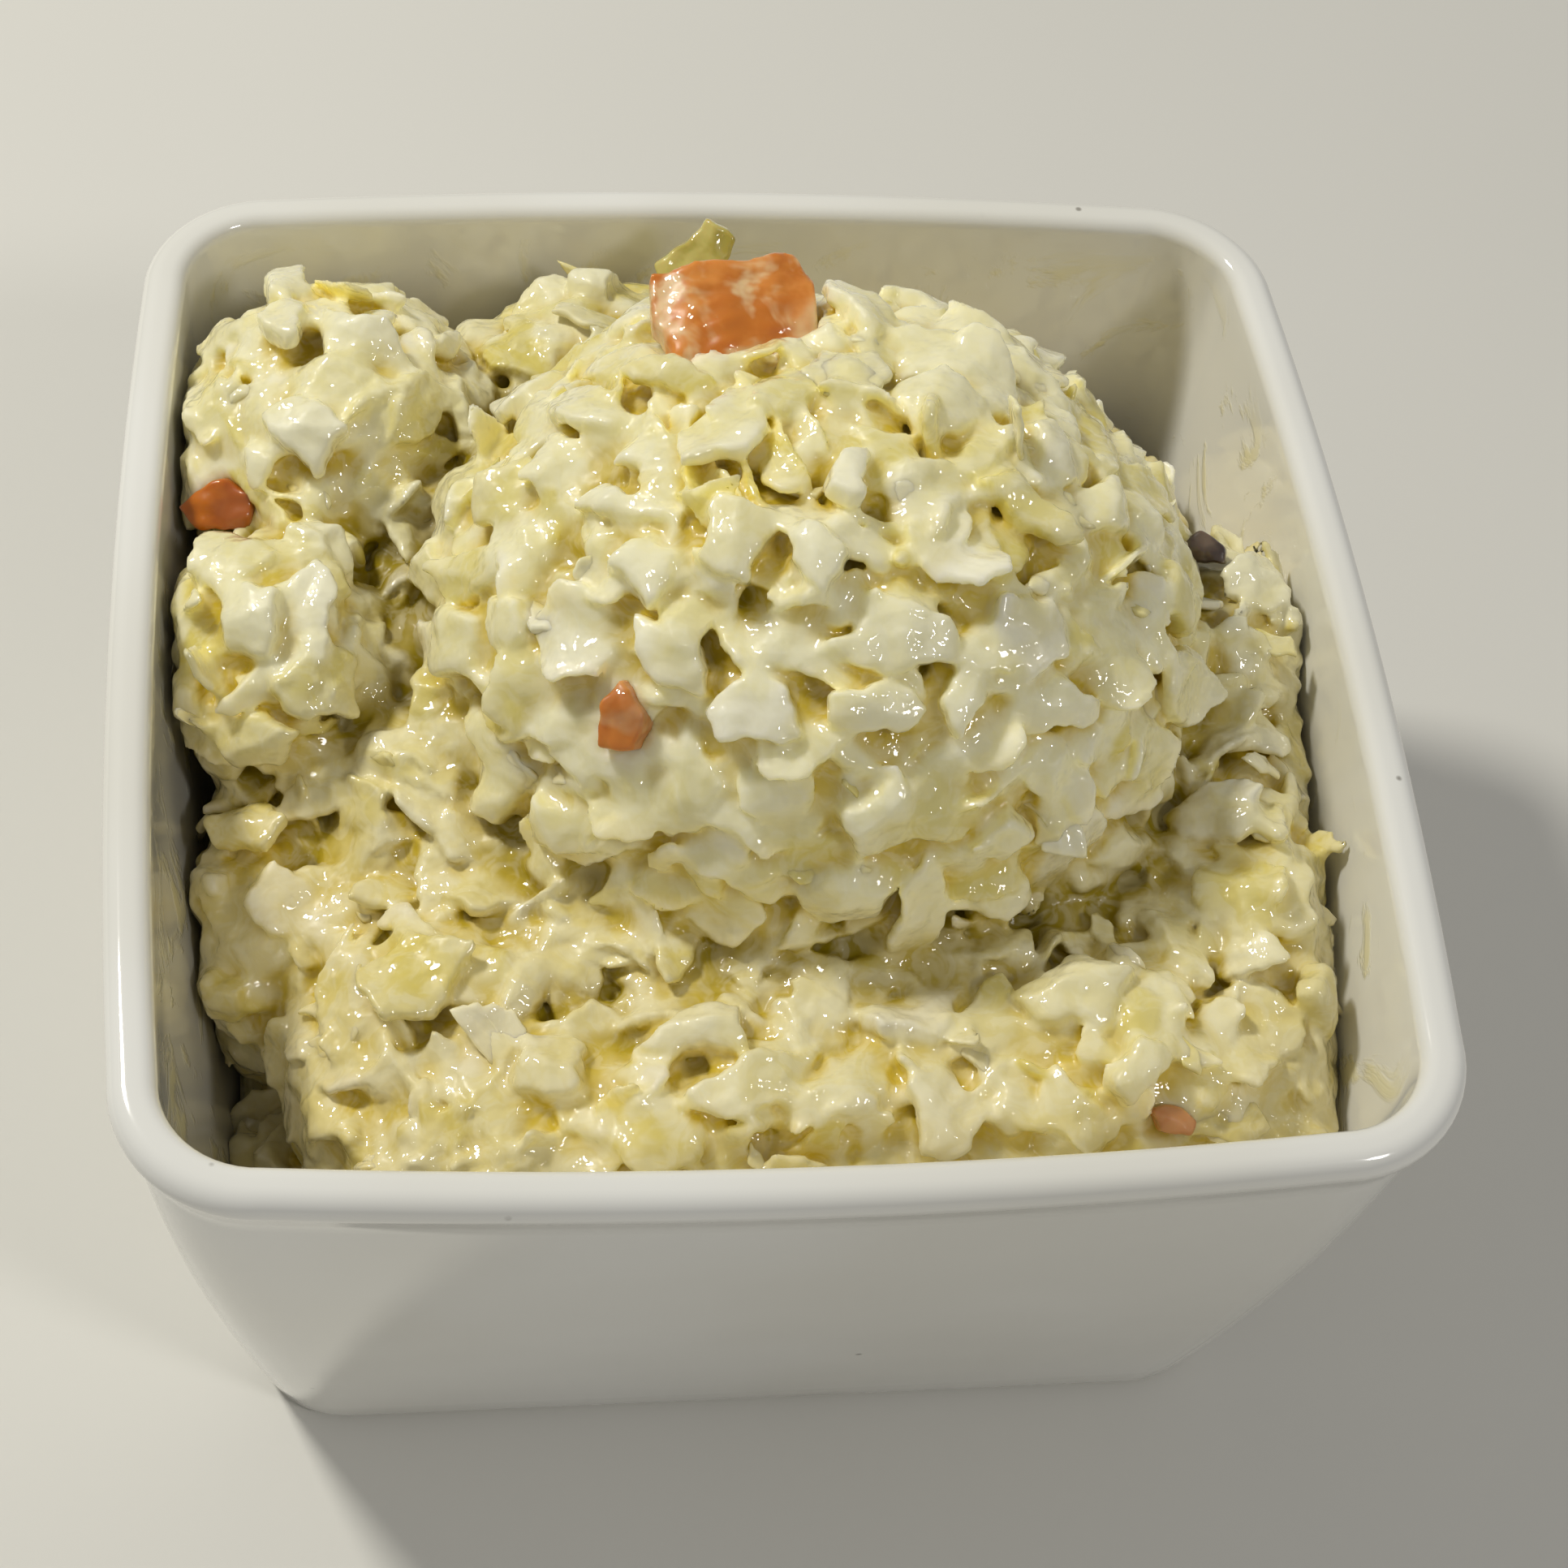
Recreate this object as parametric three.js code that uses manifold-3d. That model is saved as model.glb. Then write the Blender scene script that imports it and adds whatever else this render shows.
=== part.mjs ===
// Coleslaw in a square white porcelain bowl. Millimetres, +Z up.
// The origin is on the table under the middle of the bowl, and the front is towards -Y.

import * as THREE from "three";
import { mergeVertices } from "three/addons/utils/BufferGeometryUtils.js";
import Module from "manifold-3d";

// ---------------------------------------------------------------- driving dimensions

const GAP = 0.35; // clearance between touching pieces
const POCKET_GAP = 0.5; // clearance all round a garnish in the slaw

const BOWL_HEIGHT = 50;
const RIM_HALF = 45.3; // half the width of the rim, measured near its corners
const RIM_CORNER = 10; // corner radius of the rim, seen from above
const BASE_HALF = 37.7;
const BASE_CORNER = 7;
const LEAST_CORNER = 1.5;
const SIDE_BOW = 1.3; // how far the middle of each side swells outwards
const WALL = 2.4;
const FLOOR = 4;
const FLARE = 1.54; // power of the wall's outward sweep: 1 is straight
const BEAD_OUT = 0.9; // how far the rim's bead stands proud of the wall
const BEAD_ROUND = 1.5; // radius of the bead's outside
const LIP_ROUND = 1.2; // radius between the rim and the inner wall
const FOOT_ROUND = 1.2; // radius between the base and the wall
const FLOOR_ROUND = 5; // radius between the floor and the inner wall

const CORNER_STEPS = 6;
const SIDE_STEPS = 4;
const WALL_STEPS = 3;

const LOW_BED_TOP = 19; // below this the slaw fills the bowl from wall to wall
const BED_TOP = 34; // level of the slaw under the lumps
const BED_HALF = 35;
const BED_CORNER = 9;
const BED_EDGE = 2; // the bed's top edge is cut off by this much
const BED_SHIFT = 2.5; // the upper bed lies this far to the right
const HEAP_TOP = 80; // higher than any slaw reaches

// Rounded lumps that make up the heap: middle, half sizes, number of bits scattered on top,
// and how low on the lump they go, from 1 at its top to 0 at its middle.
const CLUMPS = {
  mound: { at: [5, 5, 41.5], half: [29, 26.5, 26], bits: 109, lowest: -0.1 },
  backLeft: { at: [-30.5, 24.5, 42], half: [12, 13, 12], bits: 29, lowest: 0 },
  lowLeft: { at: [-35.2, 5, 40.5], half: [8, 9.5, 10], bits: 17, lowest: 0 },
  backMiddle: { at: [-9, 31, 38], half: [13, 9.5, 12], bits: 22, lowest: 0.1 },
  middleLeft: { at: [-23, -4, 32], half: [12, 11, 9.5], bits: 16, lowest: 0.3 },
  leftWall: { at: [-36, -10, 27], half: [5.5, 10, 11], bits: 10, lowest: 0.2 },
  frontLeft: { at: [-22, -21, 29], half: [11, 14, 12], bits: 18, lowest: 0.1 },
  front: { at: [0, -31, 30], half: [28, 9.5, 12], bits: 29, lowest: 0.2 },
  foot: { at: [-4, -21, 29.5], half: [22, 8, 10], bits: 13, lowest: 0.4 },
  frontRight: { at: [24, -28, 31.5], half: [13, 11.5, 12], bits: 20, lowest: 0.1 },
  rightFoot: { at: [29, -17, 31], half: [9, 9, 10], bits: 8, lowest: 0.4 },
  right: { at: [36, -10, 33], half: [6.5, 23, 12], bits: 21, lowest: 0.2 },
  rightBack: { at: [37, 6, 38], half: [5.5, 9, 10], bits: 10, lowest: 0 },
  backRight: { at: [20, 28, 27], half: [19, 12, 9.5], bits: 13, lowest: 0.3 },
};

const CLUMP_FACET = 8; // about the length of the edges that round a clump
const SKIN = 0.03; // a bit this close to another clump's surface, in shares of its size, still shows
const LEAST_APART = 1.5; // distance between two bits' middles, besides APART times the length
const APART = 0.45;
const SCATTER = 0.25; // how far a bit strays from its place in the spiral, either way in radians

// How bits lie: how far they lean and tip either way in radians, how far their middle stands
// proud in shares of their thickness, and the share whose ends turn up.
const LIE = { lean: 0.4, tip: 0.3, proud: [0.1, 0.4], upturned: 0.3 };
const CALM = 0.5; // the large bits lie this much flatter than the others

// Corners of a cut piece stray by up to this share of a side, and reach this far out.
const CORNER_SWAY = 0.5;
const CORNER_REACH = [0.82, 1.12];

// Bits of cabbage. Each size is a smallest and a largest value, and share is how common it is.
const KINDS = {
  flake: {
    corners: 5, share: 0.46, length: [6.5, 9.5], width: [5, 7], thick: [1.6, 2.4], taper: 0.15, curl: 0.5,
  },
  chunk: {
    corners: 4, share: 0.24, length: [5, 7.5], width: [4.2, 5.8], thick: [3, 4.2], taper: 0.25, curl: 0.3,
  },
  stick: {
    corners: 4, share: 0.14, length: [8, 11.5], width: [2.4, 3.6], thick: [2.2, 3], taper: 0.2, curl: 0.6,
  },
  leaf: {
    corners: 6, share: 0.16, length: [7, 10], width: [5, 7.5], thick: [1, 1.2], taper: 0, curl: 1.2,
  },
};

// The large bits that give the heap its look: kind, clump, degrees around it from +X,
// degrees up from its middle, length, width and the turn of the length from level.
const LARGE_BITS = [
  ["flake", "mound", -81, 54, 9.5, 6, 13],
  ["flake", "mound", -88, 44, 9, 4.5, -12],
  ["flake", "mound", -110, 41, 8.5, 5.5, 24],
  ["leaf", "mound", -104, 30, 7, 6, -52],
  ["leaf", "mound", -118, 27, 9, 5, -66],
  ["flake", "mound", -80, 27, 9, 7, 0],
  ["chunk", "mound", -88, 27, 7, 6, 42],
  ["stick", "mound", -31, 62, 8.5, 4, -88],
  ["chunk", "mound", -12, 51, 7.5, 5, -37],
  ["flake", "mound", -54, 48, 7.5, 6, -72],
  ["stick", "mound", -71, 44, 8, 3.5, -124],
  ["flake", "mound", -55, 37, 9.5, 4.5, -22],
  ["flake", "mound", -25, 20, 9, 7, -59],
  ["leaf", "mound", -39, 18, 8, 6, -40],
  ["leaf", "mound", -54, 13, 8.5, 4.5, -77],
  ["leaf", "mound", -81, 8, 10, 5, -106],
  ["flake", "mound", -92, 12, 7.5, 5, 15],
  ["chunk", "mound", -130, 64, 8, 6, -48],
  ["chunk", "mound", -104, 65, 6.5, 4.5, -86],
  ["chunk", "mound", -129, 46, 7.5, 5, -31],
  ["leaf", "mound", -146, 39, 8, 7.5, -44],
  ["chunk", "mound", -166, 19, 8, 7, -18],
  ["flake", "mound", -174, 27, 9, 5, 62],
  ["stick", "mound", -164, 55, 9.5, 2.8, 44],
  ["flake", "mound", 161, 51, 9, 5, 62],
  ["flake", "mound", 16, 77, 7.5, 6.5, -110],
  ["chunk", "mound", -135, 11, 6, 5, 38],
  ["flake", "frontLeft", 78, 62, 8.5, 8.5, 0],
  ["flake", "frontLeft", -150, 70, 9, 7, -80],
  ["stick", "frontLeft", -37, 66, 9, 3.4, -11],
  ["leaf", "frontLeft", -102, 53, 6, 4, -69],
  ["flake", "leftWall", 140, 78, 7, 5.5, 99],
  ["flake", "leftWall", -60, 62, 8, 5, -85],
  ["flake", "front", -115, 78, 10.5, 4.8, 22],
  ["chunk", "front", 140, 74, 8.5, 5, 165],
  ["chunk", "front", 176, 55, 7.5, 6, 19],
  ["chunk", "front", -32, 50, 5.5, 4, -117],
  ["leaf", "front", 120, 52, 10, 4.5, 160],
  ["flake", "frontRight", 164, 73, 10, 7, 102],
  ["stick", "frontRight", 50, 55, 10, 4.2, -30],
  ["flake", "right", -162, 66, 8, 6, 73],
  ["leaf", "right", -128, 62, 9, 5, 75],
  ["leaf", "right", -125, 45, 9, 5.5, 69],
  ["chunk", "backLeft", -88, 13, 7, 4, -100],
  ["chunk", "backLeft", -105, 57, 8, 6.5, -8],
  ["leaf", "backLeft", 150, 40, 6.5, 3.5, -60],
  ["flake", "lowLeft", -62, 39, 8, 6.5, -17],
  ["chunk", "lowLeft", -115, 68, 7.5, 6, -54],
  ["flake", "lowLeft", -101, 18, 9, 4.5, 12],
  ["chunk", "backMiddle", 100, 60, 6, 5, -92],
];

// Garnish that shows a colour of its own: its middle, the way its face looks (degrees around
// from +X and degrees up), the turn of its length from level, and length, width and thickness.
const GARNISH = {
  carrot_back: {
    colour: "#e08a4a", at: [-1.4, 18, 64.2], facing: [-80, 78], turn: 6, size: [12.5, 9.5, 2.8],
  },
  carrot_left: {
    colour: "#cf6a1c", at: [-38.9, 15.8, 45.8], facing: [-115, 42], turn: 20, size: [6.8, 4.8, 2.4],
  },
  carrot_middle: {
    colour: "#dd7a3c", at: [-10.9, -12.4, 56], facing: [-130, 42], turn: -55, size: [6, 4.2, 2.4],
  },
  carrot_front: {
    colour: "#c9621c", at: [-0.6, -22.3, 38.6], facing: [-90, 50], turn: 5, size: [4, 2.6, 1.8],
  },
  carrot_right: {
    colour: "#cf6a1c", at: [26.6, -36, 40.2], facing: [-90, 60], turn: -10, size: [3.8, 2.4, 1.8],
  },
  purple_cabbage: {
    colour: "#4a3038", at: [35.2, 8.9, 48.2], facing: [-120, 48], turn: 25, size: [4.2, 3.5, 2.4],
  },
  green_leaf: {
    colour: "#b3a748", at: [-2.2, 36.6, 51], facing: [-100, 38], turn: 80, size: [9, 6, 1.8],
  },
};
const GARNISH_FORM = { corners: 5, taper: 0.1, curl: 0.3 };

const wasm = await Module();
wasm.setup();

// ---------------------------------------------------------------- helpers

const radians = THREE.MathUtils.degToRad;
const between = ([low, high], share) => low + (high - low) * share;

/** A repeatable source of numbers from 0 to 1. */
function seeded(seed) {
  let state = seed >>> 0;
  return () => {
    state = (state + 0x6d2b79f5) >>> 0;
    let t = state;
    t = Math.imul(t ^ (t >>> 15), t | 1);
    t ^= t + Math.imul(t ^ (t >>> 7), t | 61);
    return ((t ^ (t >>> 14)) >>> 0) / 4294967296;
  };
}

function geometryFrom(vertices, triangles) {
  const geometry = new THREE.BufferGeometry();
  geometry.setAttribute("position", new THREE.Float32BufferAttribute(vertices.flat(), 3));
  geometry.setIndex(triangles.flat());
  return geometry;
}

function solidFrom(geometry) {
  const vertProperties = new Float32Array(geometry.attributes.position.array);
  const triVerts = new Uint32Array(geometry.index.array);
  return new wasm.Manifold(new wasm.Mesh({ numProp: 3, vertProperties, triVerts }));
}

function geometryOf(solid) {
  const mesh = solid.getMesh();
  const geometry = new THREE.BufferGeometry();
  geometry.setAttribute("position", new THREE.BufferAttribute(mesh.vertProperties, 3));
  geometry.setIndex(new THREE.BufferAttribute(mesh.triVerts, 1));
  return geometry;
}

/** Skins rings of equal length in order, and closes both ends with a fan. */
function loft(rings) {
  const count = rings[0].length;
  const vertices = rings.flat();
  const triangles = [];
  for (let level = 0; level < rings.length - 1; level++) {
    for (let i = 0; i < count; i++) {
      const a = level * count + i;
      const b = level * count + ((i + 1) % count);
      triangles.push([a, b, b + count], [a, b + count, a + count]);
    }
  }
  const last = (rings.length - 1) * count;
  const bottom = vertices.push(middleOf(rings[0])) - 1;
  const top = vertices.push(middleOf(rings.at(-1))) - 1;
  for (let i = 0; i < count; i++) {
    const next = (i + 1) % count;
    triangles.push([bottom, next, i], [top, last + i, last + next]);
  }
  return geometryFrom(vertices, triangles);
}

function middleOf(ring) {
  return [0, 1, 2].map((axis) => ring.reduce((sum, point) => sum + point[axis], 0) / ring.length);
}

// ---------------------------------------------------------------- bowl

/** One level ring of the bowl: a square with round corners and bowed sides. */
function squareRing(half, corner, bow, z) {
  const straight = half - corner;
  const ring = [];
  for (let quarter = 0; quarter < 4; quarter++) {
    const turn = (quarter * Math.PI) / 2;
    const put = (x, y) => {
      ring.push([x * Math.cos(turn) - y * Math.sin(turn), x * Math.sin(turn) + y * Math.cos(turn), z]);
    };
    for (let i = 0; i < SIDE_STEPS; i++) {
      const y = straight * ((2 * i) / SIDE_STEPS - 1);
      put(half + bow * (1 - (y / straight) ** 2), y);
    }
    for (let i = 0; i < CORNER_STEPS; i++) {
      const angle = (i / CORNER_STEPS) * (Math.PI / 2);
      put(straight + corner * Math.cos(angle), straight + corner * Math.sin(angle));
    }
  }
  return ring;
}

/** The wall's outline at a height, without the bead, less an inset. */
function wallRing(z, inset) {
  const sweep = 1 - (1 - Math.min(z / BOWL_HEIGHT, 1)) ** FLARE;
  const half = BASE_HALF + (RIM_HALF - BEAD_OUT - BASE_HALF) * sweep;
  const corner = BASE_CORNER + (RIM_CORNER - BEAD_OUT - BASE_CORNER) * sweep;
  return squareRing(half - inset, Math.max(corner - inset, LEAST_CORNER), SIDE_BOW * sweep, z);
}

/** Wall outlines at even heights, both ends included. */
function wallRings(low, high, inset, steps) {
  return Array.from({ length: steps + 1 }, (_, i) => wallRing(low + ((high - low) * i) / steps, inset));
}

function footRings() {
  return [0, 45].map(radians).map((angle) => {
    return wallRing(FOOT_ROUND * (1 - Math.cos(angle)), FOOT_ROUND * (1 - Math.sin(angle)));
  });
}

/** The rounded rim, from the crease under its bead over the top to the inner wall. */
function rimRings() {
  const round = (radius, centre, side) => (angle) => {
    const below = radius * (1 - Math.sin(angle));
    const level = wallRing(BOWL_HEIGHT, centre + side * radius * Math.cos(angle));
    return level.map(([x, y, z]) => [x, y, z - below]);
  };
  const bead = [-55, 0, 45, 90].map(radians).map(round(BEAD_ROUND, BEAD_ROUND - BEAD_OUT, -1));
  const lip = [90, 45, 0].map(radians).map(round(LIP_ROUND, WALL - LIP_ROUND, 1));
  return [...bead, ...lip];
}

/** The hollow from its floor up to a height, clear of the bowl by a margin. */
function hollowRings(top, clear, steps) {
  const floor = [90, 60, 30].map(radians).map((angle) => {
    const z = FLOOR + clear + FLOOR_ROUND * (1 - Math.sin(angle));
    return wallRing(z, WALL + clear + FLOOR_ROUND * (1 - Math.cos(angle)));
  });
  return [...floor, ...wallRings(FLOOR + clear + FLOOR_ROUND, top, WALL + clear, steps)];
}

function bowlGeometry() {
  const crease = BOWL_HEIGHT - 2 * BEAD_ROUND;
  const outside = [...footRings(), ...wallRings(FOOT_ROUND, crease, 0, WALL_STEPS + 1)];
  const inside = hollowRings(BOWL_HEIGHT - 2 * LIP_ROUND, 0, WALL_STEPS).reverse();
  return loft([...outside, ...rimRings(), ...inside]);
}

// ---------------------------------------------------------------- slaw

/** The room for food: the hollow, clear of the bowl, and straight up from the rim. */
function roomInside() {
  const rings = hollowRings(BOWL_HEIGHT, GAP, WALL_STEPS - 1);
  const above = rings.at(-1).map(([x, y]) => [x, y, HEAP_TOP]);
  return solidFrom(loft([...rings, above]));
}

/** Slaw that lies level: wall to wall below, and clear of the wall further up. */
function bed() {
  const upperRing = (z, inset) => {
    return squareRing(BED_HALF - inset, BED_CORNER, 0, z).map(([x, y]) => [x + BED_SHIFT, y, z]);
  };
  const upper = loft([upperRing(FLOOR, 0), upperRing(BED_TOP - BED_EDGE, 0), upperRing(BED_TOP, BED_EDGE)]);
  const lower = loft([FLOOR, LOW_BED_TOP].map((z) => wallRing(z, 0)));
  return solidFrom(upper).add(solidFrom(lower));
}

function clumpSolid({ at, half }) {
  const sphere = new THREE.IcosahedronGeometry(1, Math.ceil(Math.max(...half) / CLUMP_FACET) - 1);
  sphere.deleteAttribute("normal");
  sphere.deleteAttribute("uv");
  const welded = mergeVertices(sphere);
  welded.scale(...half);
  welded.translate(...at);
  return solidFrom(welded);
}

/** A place to lay a piece: its point, and axes that run level, upwards and outwards. */
function placeAt(point, outward) {
  const level = new THREE.Vector3(-outward.y, outward.x, 0).normalize();
  const upward = new THREE.Vector3().crossVectors(outward, level);
  return { point, level, upward, outward };
}

function direction(around, up) {
  return new THREE.Vector3(Math.cos(up) * Math.cos(around), Math.cos(up) * Math.sin(around), Math.sin(up));
}

function placeOn(name, around, up) {
  const at = new THREE.Vector3(...CLUMPS[name].at);
  const half = new THREE.Vector3(...CLUMPS[name].half);
  const unit = direction(around, up);
  return placeAt(unit.clone().multiply(half).add(at), unit.clone().divide(half).normalize());
}

/** Lays a piece: its length turned from level, then leaned about its length and its width. */
function laying({ point, level, upward, outward }, { turn, lean = 0, tip = 0, proud = 0, thick = 0 }) {
  const spot = new THREE.Matrix4().makeBasis(level, upward, outward);
  spot.multiply(new THREE.Matrix4().makeRotationZ(turn));
  spot.multiply(new THREE.Matrix4().makeRotationX(lean));
  spot.multiply(new THREE.Matrix4().makeRotationY(tip));
  return spot.setPosition(point.clone().addScaledVector(outward, proud * thick));
}

/** A cut piece of vegetable: a cornered outline with two like faces, tapered and curled. */
function cutPiece({ corners, length, width, thick, taper, curl, bend = 1, seed }) {
  const draw = seeded(seed);
  const outline = Array.from({ length: corners }, (_, i) => {
    const angle = ((i + CORNER_SWAY * draw()) / corners) * Math.PI * 2;
    const reach = between(CORNER_REACH, draw());
    return [(Math.cos(angle) * reach * length) / 2, (Math.sin(angle) * reach * width) / 2];
  });
  const ring = (scale, z) => outline.map(([x, y]) => {
    return [x * scale, y * scale, z - bend * curl * ((2 * x) / length) ** 2];
  });
  return loft([ring(1, -thick / 2), ring(1 - taper, thick / 2)]);
}

function isInside(point, { at, half }) {
  const offset = new THREE.Vector3(...at).negate().add(point).divide(new THREE.Vector3(...half));
  return offset.length() < 1 - SKIN;
}

/** Whether a point on one clump lies inside another clump or the bed. */
function isBuried(point, own) {
  const inClump = Object.entries(CLUMPS).some(([name, clump]) => name !== own && isInside(point, clump));
  const overBed = Math.abs(point.x - BED_SHIFT) < BED_HALF && Math.abs(point.y) < BED_HALF;
  return inClump || point.z < LOW_BED_TOP || (overBed && point.z < BED_TOP);
}

/** Draws what kind of bit comes next, its size and how it lies. */
function drawBit(draw) {
  let pick = draw();
  const kind = Object.keys(KINDS).find((name) => (pick -= KINDS[name].share) < 0) ?? "flake";
  const { length, width, thick } = KINDS[kind];
  return {
    kind,
    length: between(length, draw()),
    width: between(width, draw()),
    thick: between(thick, draw()),
    turn: draw() * Math.PI * 2,
    lean: between([-LIE.lean, LIE.lean], draw()),
    tip: between([-LIE.tip, LIE.tip], draw()),
    proud: between(LIE.proud, draw()),
    bend: draw() < LIE.upturned ? -1 : 1,
    seed: Math.floor(draw() * 1e6),
  };
}

function largeBits(draw) {
  return LARGE_BITS.map(([kind, name, around, up, length, width, turn]) => {
    const drawn = drawBit(draw);
    const thick = KINDS[kind].thick[1];
    const lean = drawn.lean * CALM;
    const tip = drawn.tip * CALM;
    const place = placeOn(name, radians(around), radians(up));
    return { ...drawn, kind, length, width, thick, turn: radians(turn), lean, tip, place };
  });
}

/** Spreads bits evenly over a clump from its top down, in a spiral with some scatter. */
function scatteredBits(name, draw) {
  const { bits, lowest } = CLUMPS[name];
  const goldenAngle = Math.PI * (3 - Math.sqrt(5));
  return Array.from({ length: bits }, (_, i) => {
    const height = 1 - ((i + 0.2 + 0.6 * draw()) / bits) * (1 - lowest);
    const around = i * goldenAngle + between([-SCATTER, SCATTER], draw());
    return { ...drawBit(draw), place: placeOn(name, around, Math.asin(height)) };
  }).filter(({ place }) => !isBuried(place.point, name));
}

/** All bits of the heap, the large ones first. A later bit that would hide one is left out. */
function slawBits() {
  const draw = seeded(2024);
  const bits = largeBits(draw);
  const scattered = Object.keys(CLUMPS).flatMap((name) => scatteredBits(name, draw));
  const garnish = Object.values(GARNISH).map(({ at, size }) => {
    return { at: new THREE.Vector3(...at), room: size[0] / 2 + 1 };
  });
  for (const bit of scattered) {
    const { point } = bit.place;
    const isFree = bits.every(({ place, length }) => {
      return place.point.distanceTo(point) > LEAST_APART + length * APART;
    });
    const isClear = garnish.every(({ at, room }) => at.distanceTo(point) > room);
    if (isFree && isClear) bits.push(bit);
  }
  return bits;
}

function bitSolid(bit) {
  const geometry = cutPiece({ ...KINDS[bit.kind], ...bit });
  geometry.applyMatrix4(laying(bit.place, bit));
  return solidFrom(geometry);
}

/** A garnish, or the pocket that it lies in when grown by a margin. */
function garnishSolid({ at, facing, turn, size }, seed, margin = 0) {
  const [length, width, thick] = size.map((value) => value + 2 * margin);
  const geometry = cutPiece({ ...GARNISH_FORM, length, width, thick, seed });
  const place = placeAt(new THREE.Vector3(...at), direction(...facing.map(radians)));
  geometry.applyMatrix4(laying(place, { turn: radians(turn) }));
  return solidFrom(geometry);
}

function slawGeometry() {
  const core = Object.values(CLUMPS).reduce((sum, clump) => sum.add(clumpSolid(clump)), bed());
  const heap = wasm.Manifold.union([core, ...slawBits().map(bitSolid)]).intersect(roomInside());
  const pockets = Object.values(GARNISH).map((piece, i) => garnishSolid(piece, i + 1, POCKET_GAP));
  const cut = pockets.reduce((rest, pocket) => rest.subtract(pocket), heap);
  const pieces = cut.decompose().sort((a, b) => b.volume() - a.volume());
  return geometryOf(pieces[0]);
}

// ---------------------------------------------------------------- assembly

function addMesh(group, name, geometry, colour, roughness) {
  const material = new THREE.MeshStandardMaterial({ color: colour, roughness, metalness: 0 });
  const mesh = new THREE.Mesh(geometry, material);
  mesh.name = name;
  group.add(mesh);
}

const part = new THREE.Group();
addMesh(part, "bowl", bowlGeometry(), "#e6e3da", 0.12);
addMesh(part, "coleslaw", slawGeometry(), "#d9d3a0", 0.4);
Object.entries(GARNISH).forEach(([name, piece], i) => {
  addMesh(part, name, geometryOf(garnishSolid(piece, i + 1).intersect(roomInside())), piece.colour, 0.4);
});

export default part;
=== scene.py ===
"""Coleslaw heaped in a small square porcelain bowl: the looks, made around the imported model.

Blender's side is in metres with +Z up. The slaw is worked out in millimetres, as in the part's
source, and is made metres where its meshes are built.
"""

import math

import bpy
import numpy as np
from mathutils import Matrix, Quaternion, Vector


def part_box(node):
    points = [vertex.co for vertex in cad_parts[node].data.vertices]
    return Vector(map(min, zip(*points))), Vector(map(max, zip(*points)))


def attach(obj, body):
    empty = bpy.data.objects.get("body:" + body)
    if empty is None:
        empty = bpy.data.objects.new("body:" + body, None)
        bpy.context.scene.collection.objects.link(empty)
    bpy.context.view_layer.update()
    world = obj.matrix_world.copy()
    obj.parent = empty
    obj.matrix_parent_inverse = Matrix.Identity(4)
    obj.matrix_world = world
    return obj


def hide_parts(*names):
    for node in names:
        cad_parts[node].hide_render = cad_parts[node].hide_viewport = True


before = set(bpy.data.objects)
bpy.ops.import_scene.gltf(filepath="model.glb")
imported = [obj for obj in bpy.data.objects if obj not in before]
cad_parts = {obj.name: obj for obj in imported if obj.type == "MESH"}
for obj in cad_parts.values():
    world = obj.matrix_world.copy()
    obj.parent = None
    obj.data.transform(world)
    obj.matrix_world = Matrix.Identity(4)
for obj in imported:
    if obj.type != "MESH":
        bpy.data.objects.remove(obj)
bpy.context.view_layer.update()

# ---------------- sizes, in millimetres

MM = 0.001

BOWL_HEIGHT = 50
RIM_HALF = 45.3
RIM_CORNER = 10
BASE_HALF = 37.7
BASE_CORNER = 7
LEAST_CORNER = 1.5
SIDE_BOW = 1.3
WALL = 2.4
FLOOR = 4
FLARE = 1.54
BEAD_OUT = 0.9
BEAD_ROUND = 1.5
LIP_ROUND = 1.2
FOOT_ROUND = 1.2
FLOOR_ROUND = 5
GAP = 0.35
SMEAR_TOP = 48  # thin smears of dressing on the inner wall fade out up to here

BED_BOTTOM = 17  # the slaw is modelled from here up
LOW_BED_TOP = 19
BED_TOP = 34
BED_HALF = 35
BED_CORNER = 9
BED_SHIFT = 2.5

# Rounded lumps that make up the heap: middle, half sizes, number of the model's own bits
# scattered on top, and how low on the lump they go, from 1 at its top to 0 at its middle.
CLUMPS = {
    "mound": ((5, 5, 41.5), (29, 26.5, 26), 109, -0.1),
    "backLeft": ((-30.5, 24.5, 42), (12, 13, 12), 29, 0),
    "lowLeft": ((-35.2, 5, 40.5), (8, 9.5, 10), 17, 0),
    "backMiddle": ((-9, 31, 38), (13, 9.5, 12), 22, 0.1),
    "middleLeft": ((-23, -4, 32), (12, 11, 9.5), 16, 0.3),
    "leftWall": ((-36, -10, 27), (5.5, 10, 11), 10, 0.2),
    "frontLeft": ((-22, -21, 29), (11, 14, 12), 18, 0.1),
    "front": ((0, -31, 30), (28, 9.5, 12), 29, 0.2),
    "foot": ((-4, -21, 29.5), (22, 8, 10), 13, 0.4),
    "frontRight": ((24, -28, 31.5), (13, 11.5, 12), 20, 0.1),
    "rightFoot": ((29, -17, 31), (9, 9, 10), 8, 0.4),
    "right": ((36, -10, 33), (6.5, 23, 12), 21, 0.2),
    "rightBack": ((37, 6, 38), (5.5, 9, 10), 10, 0),
    "backRight": ((20, 28, 27), (19, 12, 9.5), 13, 0.3),
}

# Low heaps of slaw that fill the hollows between those lumps: middle and half sizes.
HOLLOWS_FILLED = [
    ((5, 5, 34), (34, 32, 9.5)),
    ((-20, 15, 38), (8, 12, 8)),
    ((-25, 2, 35), (6, 13, 8)),
]

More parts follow.
